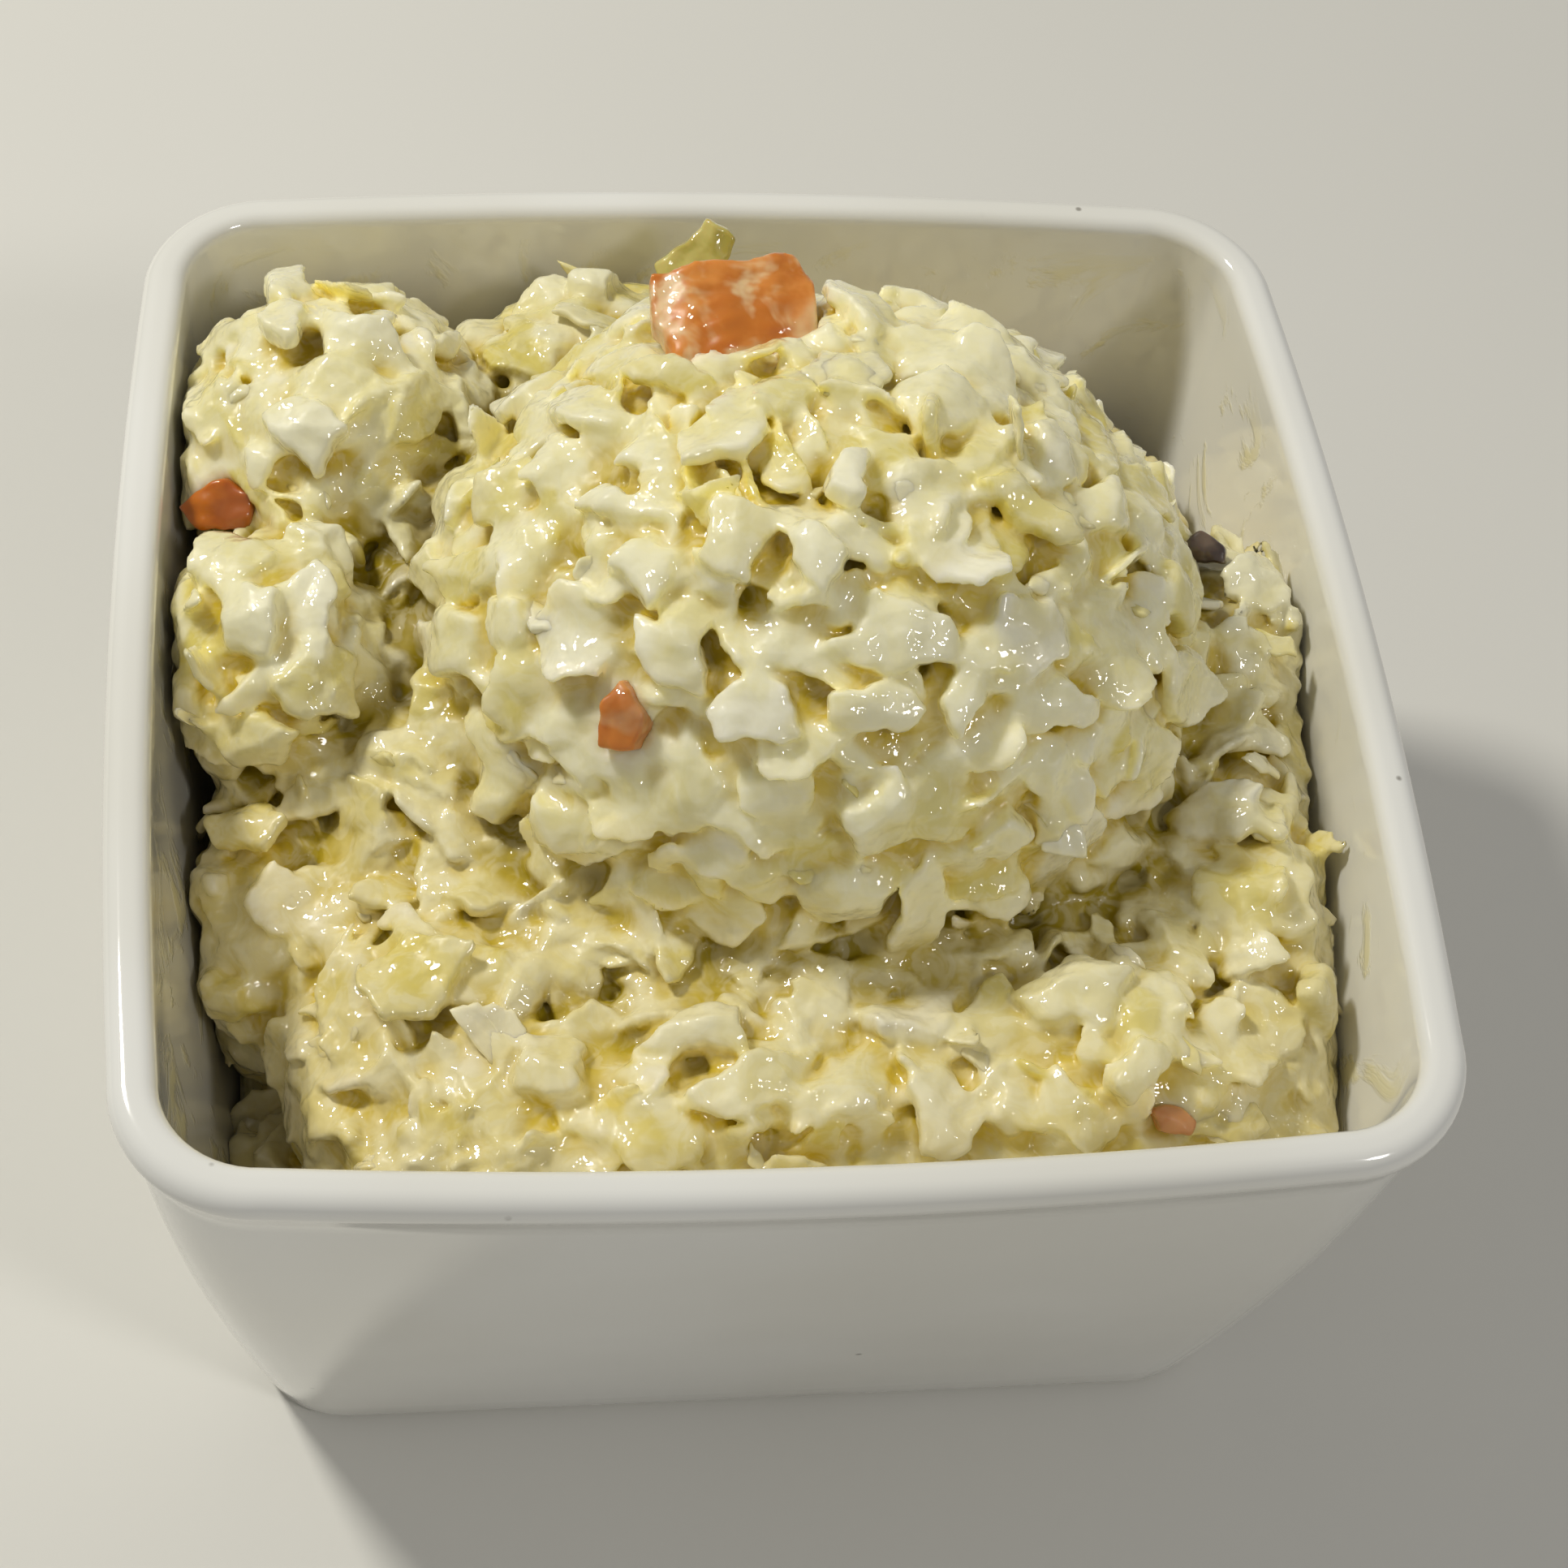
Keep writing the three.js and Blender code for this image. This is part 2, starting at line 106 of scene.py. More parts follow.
# The meshes that the coated slaw is shared out over, so that none grows too large.
SHARES = {
    "slaw_mound": ["mound"],
    "slaw_left": ["backLeft", "lowLeft", "backMiddle", "middleLeft", "leftWall", "frontLeft"],
    "slaw_front": ["front", "foot", "frontRight"],
    "slaw_right": ["rightFoot", "right", "rightBack", "backRight"],
}
REACH_SIZE = 7  # makes differences of reach roughly millimetres across a share's border
SHARE_OVERLAP = 0.6  # of the depth under the surface, so that they meet there and overlap below
BORDER_FADE = 4  # light under the surface fades out this far before a share's border
MOST_TRIANGLES = 195_000  # in one mesh

SKIN = 0.03
LEAST_APART = 1.5
APART = 0.45
SCATTER = 0.25
LEAN = 0.4
TIP = 0.3
PROUD = (0.1, 0.4)
UPTURNED = 0.3
CALM = 0.5
CORNER_SWAY = 0.5
CORNER_REACH = (0.82, 1.12)
STAND = -0.12  # the lower edges of the model's bits stand off by this much more here
LIFT = (0.35, 0.6)  # and they are lifted by so much, and by this share of how proud they stand

# The model's kinds of bit: corners, share, length, width, thickness and curl, then the
# thickness that shows here and how round its edges and its outline are.
KINDS = {
    "flake": (5, 0.46, (6.5, 9.5), (5, 7), (1.6, 2.4), 0.7, 1.4, 0.3, 0.6),
    "chunk": (4, 0.24, (5, 7.5), (4.2, 5.8), (3, 4.2), 0.3, 2.2, 0.4, 0.6),
    "stick": (4, 0.14, (8, 11.5), (2.4, 3.6), (2.2, 3), 0.6, 1.7, 0.4, 0.6),
    "leaf": (6, 0.16, (7, 10), (5, 7.5), (1, 1.2), 1.2, 1.0, 0.25, 0.5),
}

# The large bits that give the heap its look, for each lump: kind, degrees around the lump from
# +X, degrees up from its middle, length, width and the turn of the length from level.
LARGE_BITS = {
    "mound": [
        ("flake", -81, 54, 9.5, 6, 13), ("flake", -88, 44, 9, 4.5, -12),
        ("flake", -110, 41, 8.5, 5.5, 24), ("leaf", -104, 30, 7, 6, -52),
        ("leaf", -118, 27, 9, 5, -66), ("flake", -80, 27, 9, 7, 0), ("chunk", -88, 27, 7, 6, 42),
        ("stick", -31, 62, 8.5, 4, -88), ("chunk", -12, 51, 7.5, 5, -37),
        ("flake", -54, 48, 7.5, 6, -72), ("stick", -71, 44, 8, 3.5, -124),
        ("flake", -55, 37, 9.5, 4.5, -22), ("flake", -25, 20, 9, 7, -59),
        ("leaf", -39, 18, 8, 6, -40), ("leaf", -54, 13, 8.5, 4.5, -77),
        ("leaf", -81, 8, 10, 5, -106), ("flake", -92, 12, 7.5, 5, 15),
        ("chunk", -130, 64, 8, 6, -48), ("chunk", -104, 65, 6.5, 4.5, -86),
        ("chunk", -129, 46, 7.5, 5, -31), ("leaf", -146, 39, 8, 7.5, -44),
        ("chunk", -166, 19, 8, 7, -18), ("flake", -174, 27, 9, 5, 62),
        ("stick", -164, 55, 9.5, 2.8, 44), ("flake", 161, 51, 9, 5, 62),
        ("flake", 16, 77, 7.5, 6.5, -110), ("chunk", -135, 11, 6, 5, 38),
    ],
    "frontLeft": [
        ("flake", 78, 62, 8.5, 8.5, 0), ("flake", -150, 70, 9, 7, -80),
        ("stick", -37, 66, 9, 3.4, -11), ("leaf", -102, 53, 6, 4, -69),
    ],
    "leftWall": [
        ("flake", 140, 78, 7, 5.5, 99), ("flake", -60, 62, 8, 5, -85),
    ],
    "front": [
        ("flake", -115, 78, 10.5, 4.8, 22), ("chunk", 140, 74, 8.5, 5, 165),
        ("chunk", 176, 55, 7.5, 6, 19), ("chunk", -32, 50, 5.5, 4, -117),
        ("leaf", 120, 52, 10, 4.5, 160),
    ],
    "frontRight": [
        ("flake", 164, 73, 10, 7, 102), ("stick", 50, 55, 10, 4.2, -30),
    ],
    "right": [
        ("flake", -162, 66, 8, 6, 73), ("leaf", -128, 62, 9, 5, 75), ("leaf", -125, 45, 9, 5.5, 69),
    ],
    "backLeft": [
        ("chunk", -88, 13, 7, 4, -100), ("chunk", -105, 57, 8, 6.5, -8),
        ("leaf", 150, 40, 6.5, 3.5, -60),
    ],
    "lowLeft": [
        ("flake", -62, 39, 8, 6.5, -17), ("chunk", -115, 68, 7.5, 6, -54),
        ("flake", -101, 18, 9, 4.5, 12),
    ],
    "backMiddle": [
        ("chunk", 100, 60, 6, 5, -92),
    ],
}

# Garnish: middle, the way its face looks (degrees around from +X and degrees up), the turn of
# its length from level, its length, width and thickness, and its material slot.
GARNISH = {
    "carrot_back": ((-1.4, 18, 64.2), (-80, 78), 6, (12.5, 9.5, 2.8), "carrot"),
    "carrot_left": ((-38.9, 15.8, 45.8), (-115, 42), 20, (6.8, 4.8, 2.4), "carrot"),
    "carrot_middle": ((-10.9, -12.4, 56), (-130, 42), -55, (6, 4.2, 2.4), "carrot"),
    "carrot_front": ((-0.6, -22.3, 38.6), (-90, 50), 5, (4, 2.6, 1.8), "carrot"),
    "carrot_right": ((26.6, -36, 40.2), (-90, 60), -10, (3.8, 2.4, 1.8), "carrot"),
    "purple_cabbage": ((35.2, 8.9, 48.2), (-120, 48), 25, (4.2, 3.5, 2.4), "purple_leaf"),
    "green_leaf": ((-2.2, 36.6, 51), (-100, 38), 80, (9, 6, 1.8), "green_leaf"),
}
GARNISH_CURL = 0.3
GARNISH_LEEWAY = 0.8  # how far a garnish may reach out of the model's box round it
SLAB_CORNERS = [(6.6, -0.4), (5.4, 3.6), (-6.4, 4.6), (-5.9, -4.6), (4.6, -4.2)]  # of carrot_back

VOXEL = 0.28
CORE_DEPTH = 1.6  # how far the core lies under the surface of the model's lumps
CORE_BLEND = 6.0  # the core's lumps flow into each other over this distance
BLENDS = (0.25, 0.6)  # coated bits flow into what they touch over such distances
WEB = 1.5  # and over so many times more at their upper edge
UNDERCOAT = 0.3  # the dressing under a loose bit is this much smaller than the bit all round
UNDERCOAT_BLEND = 0.9
FILL_REACH = 0.6  # dressing fills creases and holes about this wide
CLEAR_OF_WALL = 0.05
WALL_GAP = 1.4  # the slaw stands up to so much further off the wall in places
WALL_GAP_PATCHES = (3.5, 1.3)
WALL_EDGE = 0.8  # how round the slaw's edge along the wall is
DRESSING_PATCHES = (6, 2.5)
UNEVEN = 0.2  # the dressing's surface rises and falls by this much in all
UNEVEN_SIZE = 1.5
POCKET_STEPS = (0.0, 1.5, 3.0)  # a garnish's pocket opens outwards in such steps
POCKET_TIGHTER = 0.15  # and is this much smaller than the garnish all round
HEAP_TOP = 69.8

# Layers of small bits under, between and over the large ones: depth under the lumps' surface,
# spacing, length, width to length, thickness, how much their lower edge stands off, and the
# share of them that are loose and not coated all over.
LAYERS = [
    (1.5, 4.4, (6, 9.5), (0.6, 0.9), (1.3, 2.0), (0.0, 0.4), 0),
    (0.9, 5.4, (5.5, 9), (0.5, 0.85), (0.9, 1.4), (0.0, 0.5), 0),
    (0.2, 4.1, (5, 9), (0.4, 0.8), (0.7, 1.1), (0.0, 0.6), 0.08),
    (0.0, 6.5, (2.5, 4.5), (0.25, 0.6), (0.5, 0.9), (0.0, 0.8), 0.3),
]
FOLDS = (-0.1, 0.4)  # slopes on either side of the fold across a bit
SMALL_LEAN = (-0.4, 0.4)
SMALL_TIP = (-0.35, 0.35)
SMALL_PROUD = (-0.3, 0.5)
SMALL_CURL = (-0.5, 1.2)  # of a bit 8 long
FINS = 0.16  # this share of the small bits stand on edge
FIN_LEAN = (0.8, 1.3)
FIN_SIZE = 0.7  # their width and thickness, as a share of the other bits'
SPARED = 0.36  # upper layers stay this share of a length away from the middles of the model's bits

# Rings across a loose bit from the middle of its upper face over its edge to the middle of its
# lower face: how far out, and how high as a share of half its thickness.
RINGS = [(0.3, 1), (0.6, 1), (0.84, 0.95), (0.96, 0.7), (1, 0.2), (0.99, -0.4), (0.9, -0.9), (0.5, -1)]


# ---------------- small helpers

def seeded(seed):
    """A repeatable source of numbers from 0 to 1, the same as the one in the part's source."""
    mask = 0xFFFFFFFF
    state = seed & mask

    def draw():
        nonlocal state
        state = (state + 0x6D2B79F5) & mask
        t = state
        t = ((t ^ (t >> 15)) * (t | 1)) & mask
        t ^= (t + (t ^ (t >> 7)) * (t | 61)) & mask
        return (t ^ (t >> 14)) / 4294967296

    return draw


def between(limits, share):
    return limits[0] + (limits[1] - limits[0]) * share


def unit(vector):
    return vector / np.linalg.norm(vector)


def direction(around, up):
    return np.array([math.cos(up) * math.cos(around), math.cos(up) * math.sin(around), math.sin(up)])


def axes_at(outward):
    """Rows that run level, upwards and outwards on a surface that faces outward."""
    level = unit(np.array([-outward[1], outward[0] + 1e-6, 0.0]))
    return np.array([level, np.cross(outward, level), outward])


def turned(axes, *turns):
    """Axes turned by one angle after another, each about one of themselves: 0, 1 or 2."""
    for angle, about in turns:
        old, axes = axes, axes.copy()
        a, b = (about + 1) % 3, (about + 2) % 3
        axes[a] = old[a] * math.cos(angle) + old[b] * math.sin(angle)
        axes[b] = old[b] * math.cos(angle) - old[a] * math.sin(angle)
    return axes


def new_object(name, data):
    piece = bpy.data.objects.new(name, data)
    bpy.context.scene.collection.objects.link(piece)
    return piece


# ---------------- bowl

def square_ring(half, corner, bow, z, side_steps, corner_steps):
    """One level ring of the bowl: a square with round corners and bowed sides."""
    straight = half - corner
    ring = []
    for quarter in range(4):
        turn = quarter * math.pi / 2
        points = []
        for i in range(side_steps):
            y = straight * (2 * i / side_steps - 1)
            points.append((half + bow * (1 - (y / straight) ** 2), y))
        for i in range(corner_steps):
            angle = i / corner_steps * math.pi / 2
            points.append((straight + corner * math.cos(angle), straight + corner * math.sin(angle)))
        for x, y in points:
            ring.append((x * math.cos(turn) - y * math.sin(turn), x * math.sin(turn) + y * math.cos(turn), z))
    return np.array(ring)


def wall_size(z):
    """Half width, corner radius and bow of the outer wall at a height."""
    sweep = 1 - (1 - np.clip(z / BOWL_HEIGHT, 0, 1)) ** FLARE
    half = BASE_HALF + (RIM_HALF - BEAD_OUT - BASE_HALF) * sweep
    corner = BASE_CORNER + (RIM_CORNER - BEAD_OUT - BASE_CORNER) * sweep
    return half, corner, SIDE_BOW * sweep


def ring_mesh(name, rings):
    """A smooth closed mesh that skins rings of equal length in order."""
    count = len(rings[0])
    vertices = np.concatenate(rings)
    around = np.arange(count)
    after = (around + 1) % count
    faces = [around[::-1].tolist(), (around + len(vertices) - count).tolist()]
    for level in range(len(rings) - 1):
        low, high = level * count, (level + 1) * count
        faces += np.stack([low + around, low + after, high + after, high + around], axis=1).tolist()
    mesh = bpy.data.meshes.new(name)
    mesh.from_pydata((vertices * MM).tolist(), [], faces)
    mesh.validate()
    mesh.shade_smooth()
    return mesh


def wall_ring(z, inset, below=0.0):
    half, corner, bow = wall_size(z)
    return square_ring(half - inset, max(corner - inset, LEAST_CORNER), bow, z - below, 16, 14)


# ---------------- the slaw's bits

def place_on(name, around, up):
    at, half = (np.array(value, float) for value in CLUMPS[name][:2])
    way = direction(around, up)
    return at + way * half, unit(way / half)


def draw_bit(draw):
    """Draws what kind of bit comes next, its size and how it lies, in the source's own order."""
    pick = draw()
    kind = "flake"
    for name, row in KINDS.items():
        pick -= row[1]
        if pick < 0:
            kind = name
            break
    row = KINDS[kind]
    return {
        "kind": kind,
        "length": between(row[2], draw()),
        "width": between(row[3], draw()),
        "thick": between(row[4], draw()),
        "turn": draw() * 2 * math.pi,
        "lean": between((-LEAN, LEAN), draw()),
        "tip": between((-TIP, TIP), draw()),
        "proud": between(PROUD, draw()),
        "bend": -1 if draw() < UPTURNED else 1,
        "seed": math.floor(draw() * 1e6),
    }


def is_inside(point, name):
    at, half = CLUMPS[name][:2]
    return np.linalg.norm((point - at) / half) < 1 - SKIN


def is_buried(point, own):
    in_clump = any(name != own and is_inside(point, name) for name in CLUMPS)
    over_bed = abs(point[0] - BED_SHIFT) < BED_HALF and abs(point[1]) < BED_HALF
    return in_clump or point[2] < LOW_BED_TOP or (over_bed and point[2] < BED_TOP)


def large_bits(draw):
    bits = []
    rows = [(name, *row) for name, own in LARGE_BITS.items() for row in own]
    for name, kind, around, up, length, width, turn in rows:
        bit = draw_bit(draw)
        point, outward = place_on(name, math.radians(around), math.radians(up))
        bit.update(kind=kind, length=length, width=width, thick=KINDS[kind][4][1])
        bit.update(turn=math.radians(turn), lean=bit["lean"] * CALM, tip=bit["tip"] * CALM)
        bit.update(point=point, outward=outward)
        bits.append(bit)
    return bits


def scattered_bits(name, draw):
    count, lowest = CLUMPS[name][2:]
    golden_angle = math.pi * (3 - math.sqrt(5))
    bits = []
    for i in range(count):
        height = 1 - ((i + 0.2 + 0.6 * draw()) / count) * (1 - lowest)
        around = i * golden_angle + between((-SCATTER, SCATTER), draw())
        bit = draw_bit(draw)
        bit["point"], bit["outward"] = place_on(name, around, math.asin(height))
        if not is_buried(bit["point"], name):
            bits.append(bit)
    return bits


def model_bits():
    """The bits of the part's source, in its order, so that each lies where the model has it."""
    draw = seeded(2024)
    bits = large_bits(draw)
    for bit in [bit for name in CLUMPS for bit in scattered_bits(name, draw)]:
        point = bit["point"]
        is_free = all(
            np.linalg.norm(other["point"] - point) > LEAST_APART + other["length"] * APART for other in bits
        )
        is_clear = all(
            np.linalg.norm(np.array(row[0]) - point) > row[3][0] / 2 + 1 for row in GARNISH.values()
        )
        if is_free and is_clear:
            bits.append(bit)
    return bits


def corners_of(count, length, width, seed):
    """Corners of a cut piece's outline, as in the source."""
    draw = seeded(seed)
    points = []
    for i in range(count):
        angle = (i + CORNER_SWAY * draw()) / count * 2 * math.pi
        reach = between(CORNER_REACH, draw())
        points.append((math.cos(angle) * reach * length / 2, math.sin(angle) * reach * width / 2))
    return np.array(points)


def shaped(bit):
    """Turns a bit of the source into the piece that shows."""
    corners, _, _, _, _, curl, thick, edge, outline = KINDS[bit["kind"]]
    turns = [(STAND, 0), (bit["turn"], 2), (bit["lean"], 0), (bit["tip"], 1)]
    return {
        "middle": bit["point"] + bit["outward"] * (LIFT[0] + bit["proud"] * bit["thick"] * LIFT[1]),
        "axes": turned(axes_at(bit["outward"]), *turns),
        "length": bit["length"],
        "width": bit["width"],
        "thick": thick,
        "corners": corners_of(corners, bit["length"], bit["width"], bit["seed"]),
        "curl": bit["bend"] * curl,
        "round": edge,
        "soft": outline,
        "is_loose": False,
        "fold": between(FOLDS, bit["seed"] % 97 / 96),
        "seed": bit["seed"],
    }


def loose_piece(point, outward, layer, draw):
    """A small bit of cabbage whose lower edge stands off, as shingles do."""
    _, _, lengths, widths, thicks, stand_off, loose_share = layer
    length = between(lengths, draw())
    width = length * between(widths, draw())
    thick = between(thicks, draw() ** 2)
    turns = [(-between(stand_off, draw()), 0)]
    if draw() < FINS:
        turns.append((between(FIN_LEAN, draw()), 0))
        width *= FIN_SIZE
        thick *= FIN_SIZE
    turns += [(draw() * 2 * math.pi, 2), (between(SMALL_LEAN, draw()), 0)]
    turns.append((between(SMALL_TIP, draw()), 1))
    seed = math.floor(draw() * 1e6)
    return {
        "middle": point + outward * between(SMALL_PROUD, draw()),
        "axes": turned(axes_at(outward), *turns),
        "length": length,
        "width": width,
        "thick": thick,
        "corners": corners_of(3 + seed % 4, length * 1.15, width * 1.15, seed),
        "curl": between(SMALL_CURL, draw()) * length / 8,
        "round": min(0.3 * thick, 0.4),
        "soft": 0.8,
        "is_loose": draw() < loose_share,
        "fold": between(FOLDS, seed % 97 / 96),
        "seed": seed,
    }


def layer_pieces(layer, surface, normals, draw):
    """Spreads one layer of small bits evenly over the core of the heap."""
    depth, spacing = layer[:2]
    order = np.random.default_rng(math.floor(draw() * 1e6)).permutation(len(surface))
    cells = np.floor(surface[order] / spacing + draw()).astype(np.int64) + 100
    _, first = np.unique(cells @ np.array([1, 1000, 1_000_000]), return_index=True)
    pieces = []
    for i in order[first]:
        if surface[i, 2] > BED_BOTTOM + 0.5:
            point = surface[i] + normals[i] * (CORE_DEPTH - depth)
            pieces.append(loose_piece(point, normals[i], layer, draw))
    return pieces


def is_on_garnish(piece):
    """Whether a piece would lie on a garnish and hide it."""
    return any(
        np.linalg.norm(np.array(row[0]) - piece["middle"]) < row[3][0] / 2 + piece["length"] * 0.2
        for row in GARNISH.values()
    )


def is_on_any(piece, others):
    """Whether a piece would cover the middle of a larger one."""
    return any(
        np.linalg.norm(other["middle"] - piece["middle"]) < SPARED * other["length"] for other in others
    )


def all_pieces(core):
    """Every bit of the slaw, the deep ones first."""
    draw = seeded(77)
    surface = net_of(core)[0]
    normals = normals_of(core, surface)
    own = [shaped(bit) for bit in model_bits()]
    pieces = []
    for number, layer in enumerate(LAYERS):
        found = layer_pieces(layer, surface, normals, draw)
        if number > 1:
            found = [piece for piece in found if not is_on_any(piece, own) and not is_on_garnish(piece)]
        pieces += found
    pieces += own
    for piece in pieces:
        piece["tint"] = draw()
    return pieces


# ---------------- loose bits

def sag(piece, u, v):
    """How high the middle of a curled, wavy piece lies over its flat, at places across it."""
    phase = piece["seed"] % 63 / 10
    along, across = 2 * u / piece["length"], 2 * v / piece["width"]
    wave = np.sin(0.8 * u + 2 * phase) + np.sin(0.9 * v - phase)
    crease = np.sin(1.9 * u - 0.8 * v + 3 * phase)
    fold = np.abs(u * math.cos(phase) + v * math.sin(phase) - 0.5 * math.sin(5 * phase))
    ribs = np.sin(3.6 * v + phase + 0.6 * np.sin(0.9 * u)) * np.sin(0.7 * u - phase)
    curved = piece["curl"] * (0.4 * across * across - along * along)
    return curved - 0.14 * wave - 0.08 * crease - 0.08 * ribs - piece["fold"] * fold


def ragged_edge(piece, steps):
    """Points round a piece: its sides bow in or out, and some of them are torn."""
    random = np.random.default_rng(piece["seed"])
    corners = piece["corners"]
    sides = np.roll(corners, -1, axis=0) - corners
    size = np.linalg.norm(sides, axis=1, keepdims=True)
    outward = np.stack([sides[:, 1], -sides[:, 0]], axis=1) / size
    bow = random.uniform(-0.14, 0.08, (len(corners), 1)) * size
    torn = random.choice((0.03, 0.06, 0.16), (len(corners), 1))
    share = np.arange(steps) / steps
    shift = bow * np.sin(math.pi * share) + torn * random.normal(size=(len(corners), steps))
    points = corners[:, None] + sides[:, None] * share[:, None] + outward[:, None] * shift[..., None]
    points = points.reshape(-1, 2)
    return (np.roll(points, 1, axis=0) + 4 * points + np.roll(points, -1, axis=0)) / 6


def held_in_room(points):
    """Points pressed back from the bowl's inner wall and under the heap's top."""
    points = points.copy()
    for _ in range(2):
        outside, slope = room_at(points)
        points[:, :2] -= np.clip(outside, 0, None)[:, None] * slope
    points[:, 2] = np.clip(points[:, 2], BED_BOTTOM, HEAP_TOP)
    return points


def room_at(points):
    """Distance outside the room for food, and the way out of it across."""
    step = 0.01
    distance = room_distance(*points.T)
    slope_x = (room_distance(points[:, 0] + step, points[:, 1], points[:, 2]) - distance) / step
    slope_y = (room_distance(points[:, 0], points[:, 1] + step, points[:, 2]) - distance) / step
    return distance, np.stack([slope_x, slope_y], axis=1)


def surface_of(piece):
    """Vertices and triangles of a loose bit."""
    steps = max(4, round(5 * piece["length"] / len(piece["corners"])))
    edge = ragged_edge(piece, steps)
    count = len(edge)
    flat = [np.zeros((1, 2))] + [edge * out for out, _ in RINGS] + [np.zeros((1, 2))]
    high = [[1]] + [[height] * count for _, height in RINGS] + [[-1]]
    flat, high = np.concatenate(flat), np.concatenate(high)
    lift = sag(piece, flat[:, 0], flat[:, 1]) + high * piece["thick"] / 2
    local = np.column_stack([flat, lift])
    vertices = held_in_room(piece["middle"] + local @ piece["axes"])
    around = np.arange(count)
    after = (around + 1) % count
    last = 1 + (len(RINGS) - 1) * count
    bottom = len(vertices) - 1
    triangles = [np.column_stack([np.zeros(count, int), 1 + around, 1 + after])]
    for ring in range(len(RINGS) - 1):
        a, b = 1 + ring * count, 1 + (ring + 1) * count
        triangles.append(np.column_stack([a + around, b + around, b + after]))
        triangles.append(np.column_stack([a + around, b + after, a + after]))
    triangles.append(np.column_stack([last + around, np.full(count, bottom), last + after]))
    return vertices, np.concatenate(triangles)


# ---------------- distance fields

class Field:
    """Distance to a surface on a grid, below 0 inside it, with what the bit there is like."""

    def __init__(self, low, high, voxel):
        self.low = np.array(low, float)
        self.voxel = voxel
        self.shape = tuple(int(math.ceil(size / voxel)) + 1 for size in np.array(high) - self.low)
        self.distance = np.full(self.shape, 8.0, np.float32)
        self.tint = np.full(self.shape, 0.5, np.float32)

    def along(self, axis, start=0, stop=None):
        """Coordinates of the grid along an axis, shaped to fill a window."""
        stop = self.shape[axis] if stop is None else stop
        values = (self.low[axis] + np.arange(start, stop) * self.voxel).astype(np.float32)
        return values.reshape([-1 if i == axis else 1 for i in range(3)])

    def window(self, low, high):
        """The part of the grid between two corners: its slices and its coordinates."""
        start = np.clip(np.floor((np.array(low) - self.low) / self.voxel), 0, np.array(self.shape) - 1)
        stop = np.clip(np.ceil((np.array(high) - self.low) / self.voxel) + 1, 1, self.shape)
        spans = [(int(a), int(b)) for a, b in zip(start, stop)]
        slices = tuple(slice(a, b) for a, b in spans)
        return slices, [self.along(axis, *span) for axis, span in enumerate(spans)]

    def window_round(self, middle, reach):
        return self.window(middle - reach, middle + reach)

    def join(self, slices, distance, blend, tint=None):
        """Joins a form to what is there, with a fillet about as wide as blend."""
        there = self.distance[slices]
        share = np.clip(0.5 + 0.5 * (there - distance) / blend, 0, 1)
        if tint is not None:
            self.tint[slices] += (tint - self.tint[slices]) * share
        overlap = np.clip(blend - np.abs(there - distance), 0, None) / blend
        self.distance[slices] = np.minimum(there, distance) - overlap * overlap * (blend / 4)

    def cut(self, slices, distance):
        self.distance[slices] = np.maximum(self.distance[slices], -distance)

    def sample(self, grid, points):
        """Values of a grid at points, blended from the eight corners round each."""
        spot = (points - self.low) / self.voxel
        base = np.clip(np.floor(spot).astype(int), 0, np.array(self.shape) - 2)
        part = np.clip(spot - base, 0, 1)
        total = np.zeros(len(points))
        for corner in np.ndindex(2, 2, 2):
            weight = np.prod(np.where(corner, part, 1 - part), axis=1)
            i, j, k = (base + corner).T
            total += weight * grid[i, j, k]
        return total


def box_blur(grid, reach, times=3):
    """Blurs a grid by repeated running means, nearly a Gaussian."""
    size = 2 * reach + 1
    for _ in range(times):
        for axis in range(3):
            pad = [(reach + 1, reach) if i == axis else (0, 0) for i in range(3)]
            running = np.cumsum(np.pad(grid, pad, mode="edge"), axis=axis, dtype=np.float32)
            upper = [slice(size, None) if i == axis else slice(None) for i in range(3)]
            lower = [slice(None, -size) if i == axis else slice(None) for i in range(3)]
            grid = (running[tuple(upper)] - running[tuple(lower)]) / size
    return grid


def stretched(grid, size, axis):
    """A grid blended out to a larger size along one axis."""
    spot = np.linspace(0, grid.shape[axis] - 1, size, dtype=np.float32)
    base = np.minimum(spot.astype(int), grid.shape[axis] - 2)
    part = (spot - base).reshape([-1 if i == axis else 1 for i in range(3)])
    return grid.take(base, axis) * (1 - part) + grid.take(base + 1, axis) * part


def cloud(shape, cell, seed):
    """Smooth noise from 0 to 1 on a grid, in patches of so many grid steps."""
    noise = np.random.default_rng(seed).random([n // cell + 2 for n in shape], dtype=np.float32)
    for axis in range(3):
        noise = stretched(noise, shape[axis], axis)
    return noise


def mottled(field, sizes, seed):
    """Smooth noise from 0 to 1 in large patches and small ones, of sizes in millimetres."""
    large, small = (cloud(field.shape, round(size / field.voxel), seed + i) for i, size in enumerate(sizes))
    return 0.6 * large + 0.4 * small


def ellipsoid_distance(x, y, z, at, half):
    """Nearly the distance to an ellipsoid."""
    x, y, z = x - at[0], y - at[1], z - at[2]
    reach = np.sqrt((x / half[0]) ** 2 + (y / half[1]) ** 2 + (z / half[2]) ** 2)
    steep = np.sqrt((x / half[0] ** 2) ** 2 + (y / half[1] ** 2) ** 2 + (z / half[2] ** 2) ** 2) + 1e-4
    return reach * (reach - 1) / steep


def square_distance(x, y, half, corner):
    across = np.abs(x) - (half - corner)
    along = np.abs(y) - (half - corner)
    outside = np.hypot(np.maximum(across, 0), np.maximum(along, 0))
    return outside + np.minimum(np.maximum(across, along), 0) - corner


def rounded_max(a, b, blend):
    """The larger of two distances, with the corner between them rounded off."""
    overlap = np.clip(blend - np.abs(a - b), 0, None)
    return np.maximum(a, b) + overlap * overlap / (4 * blend)


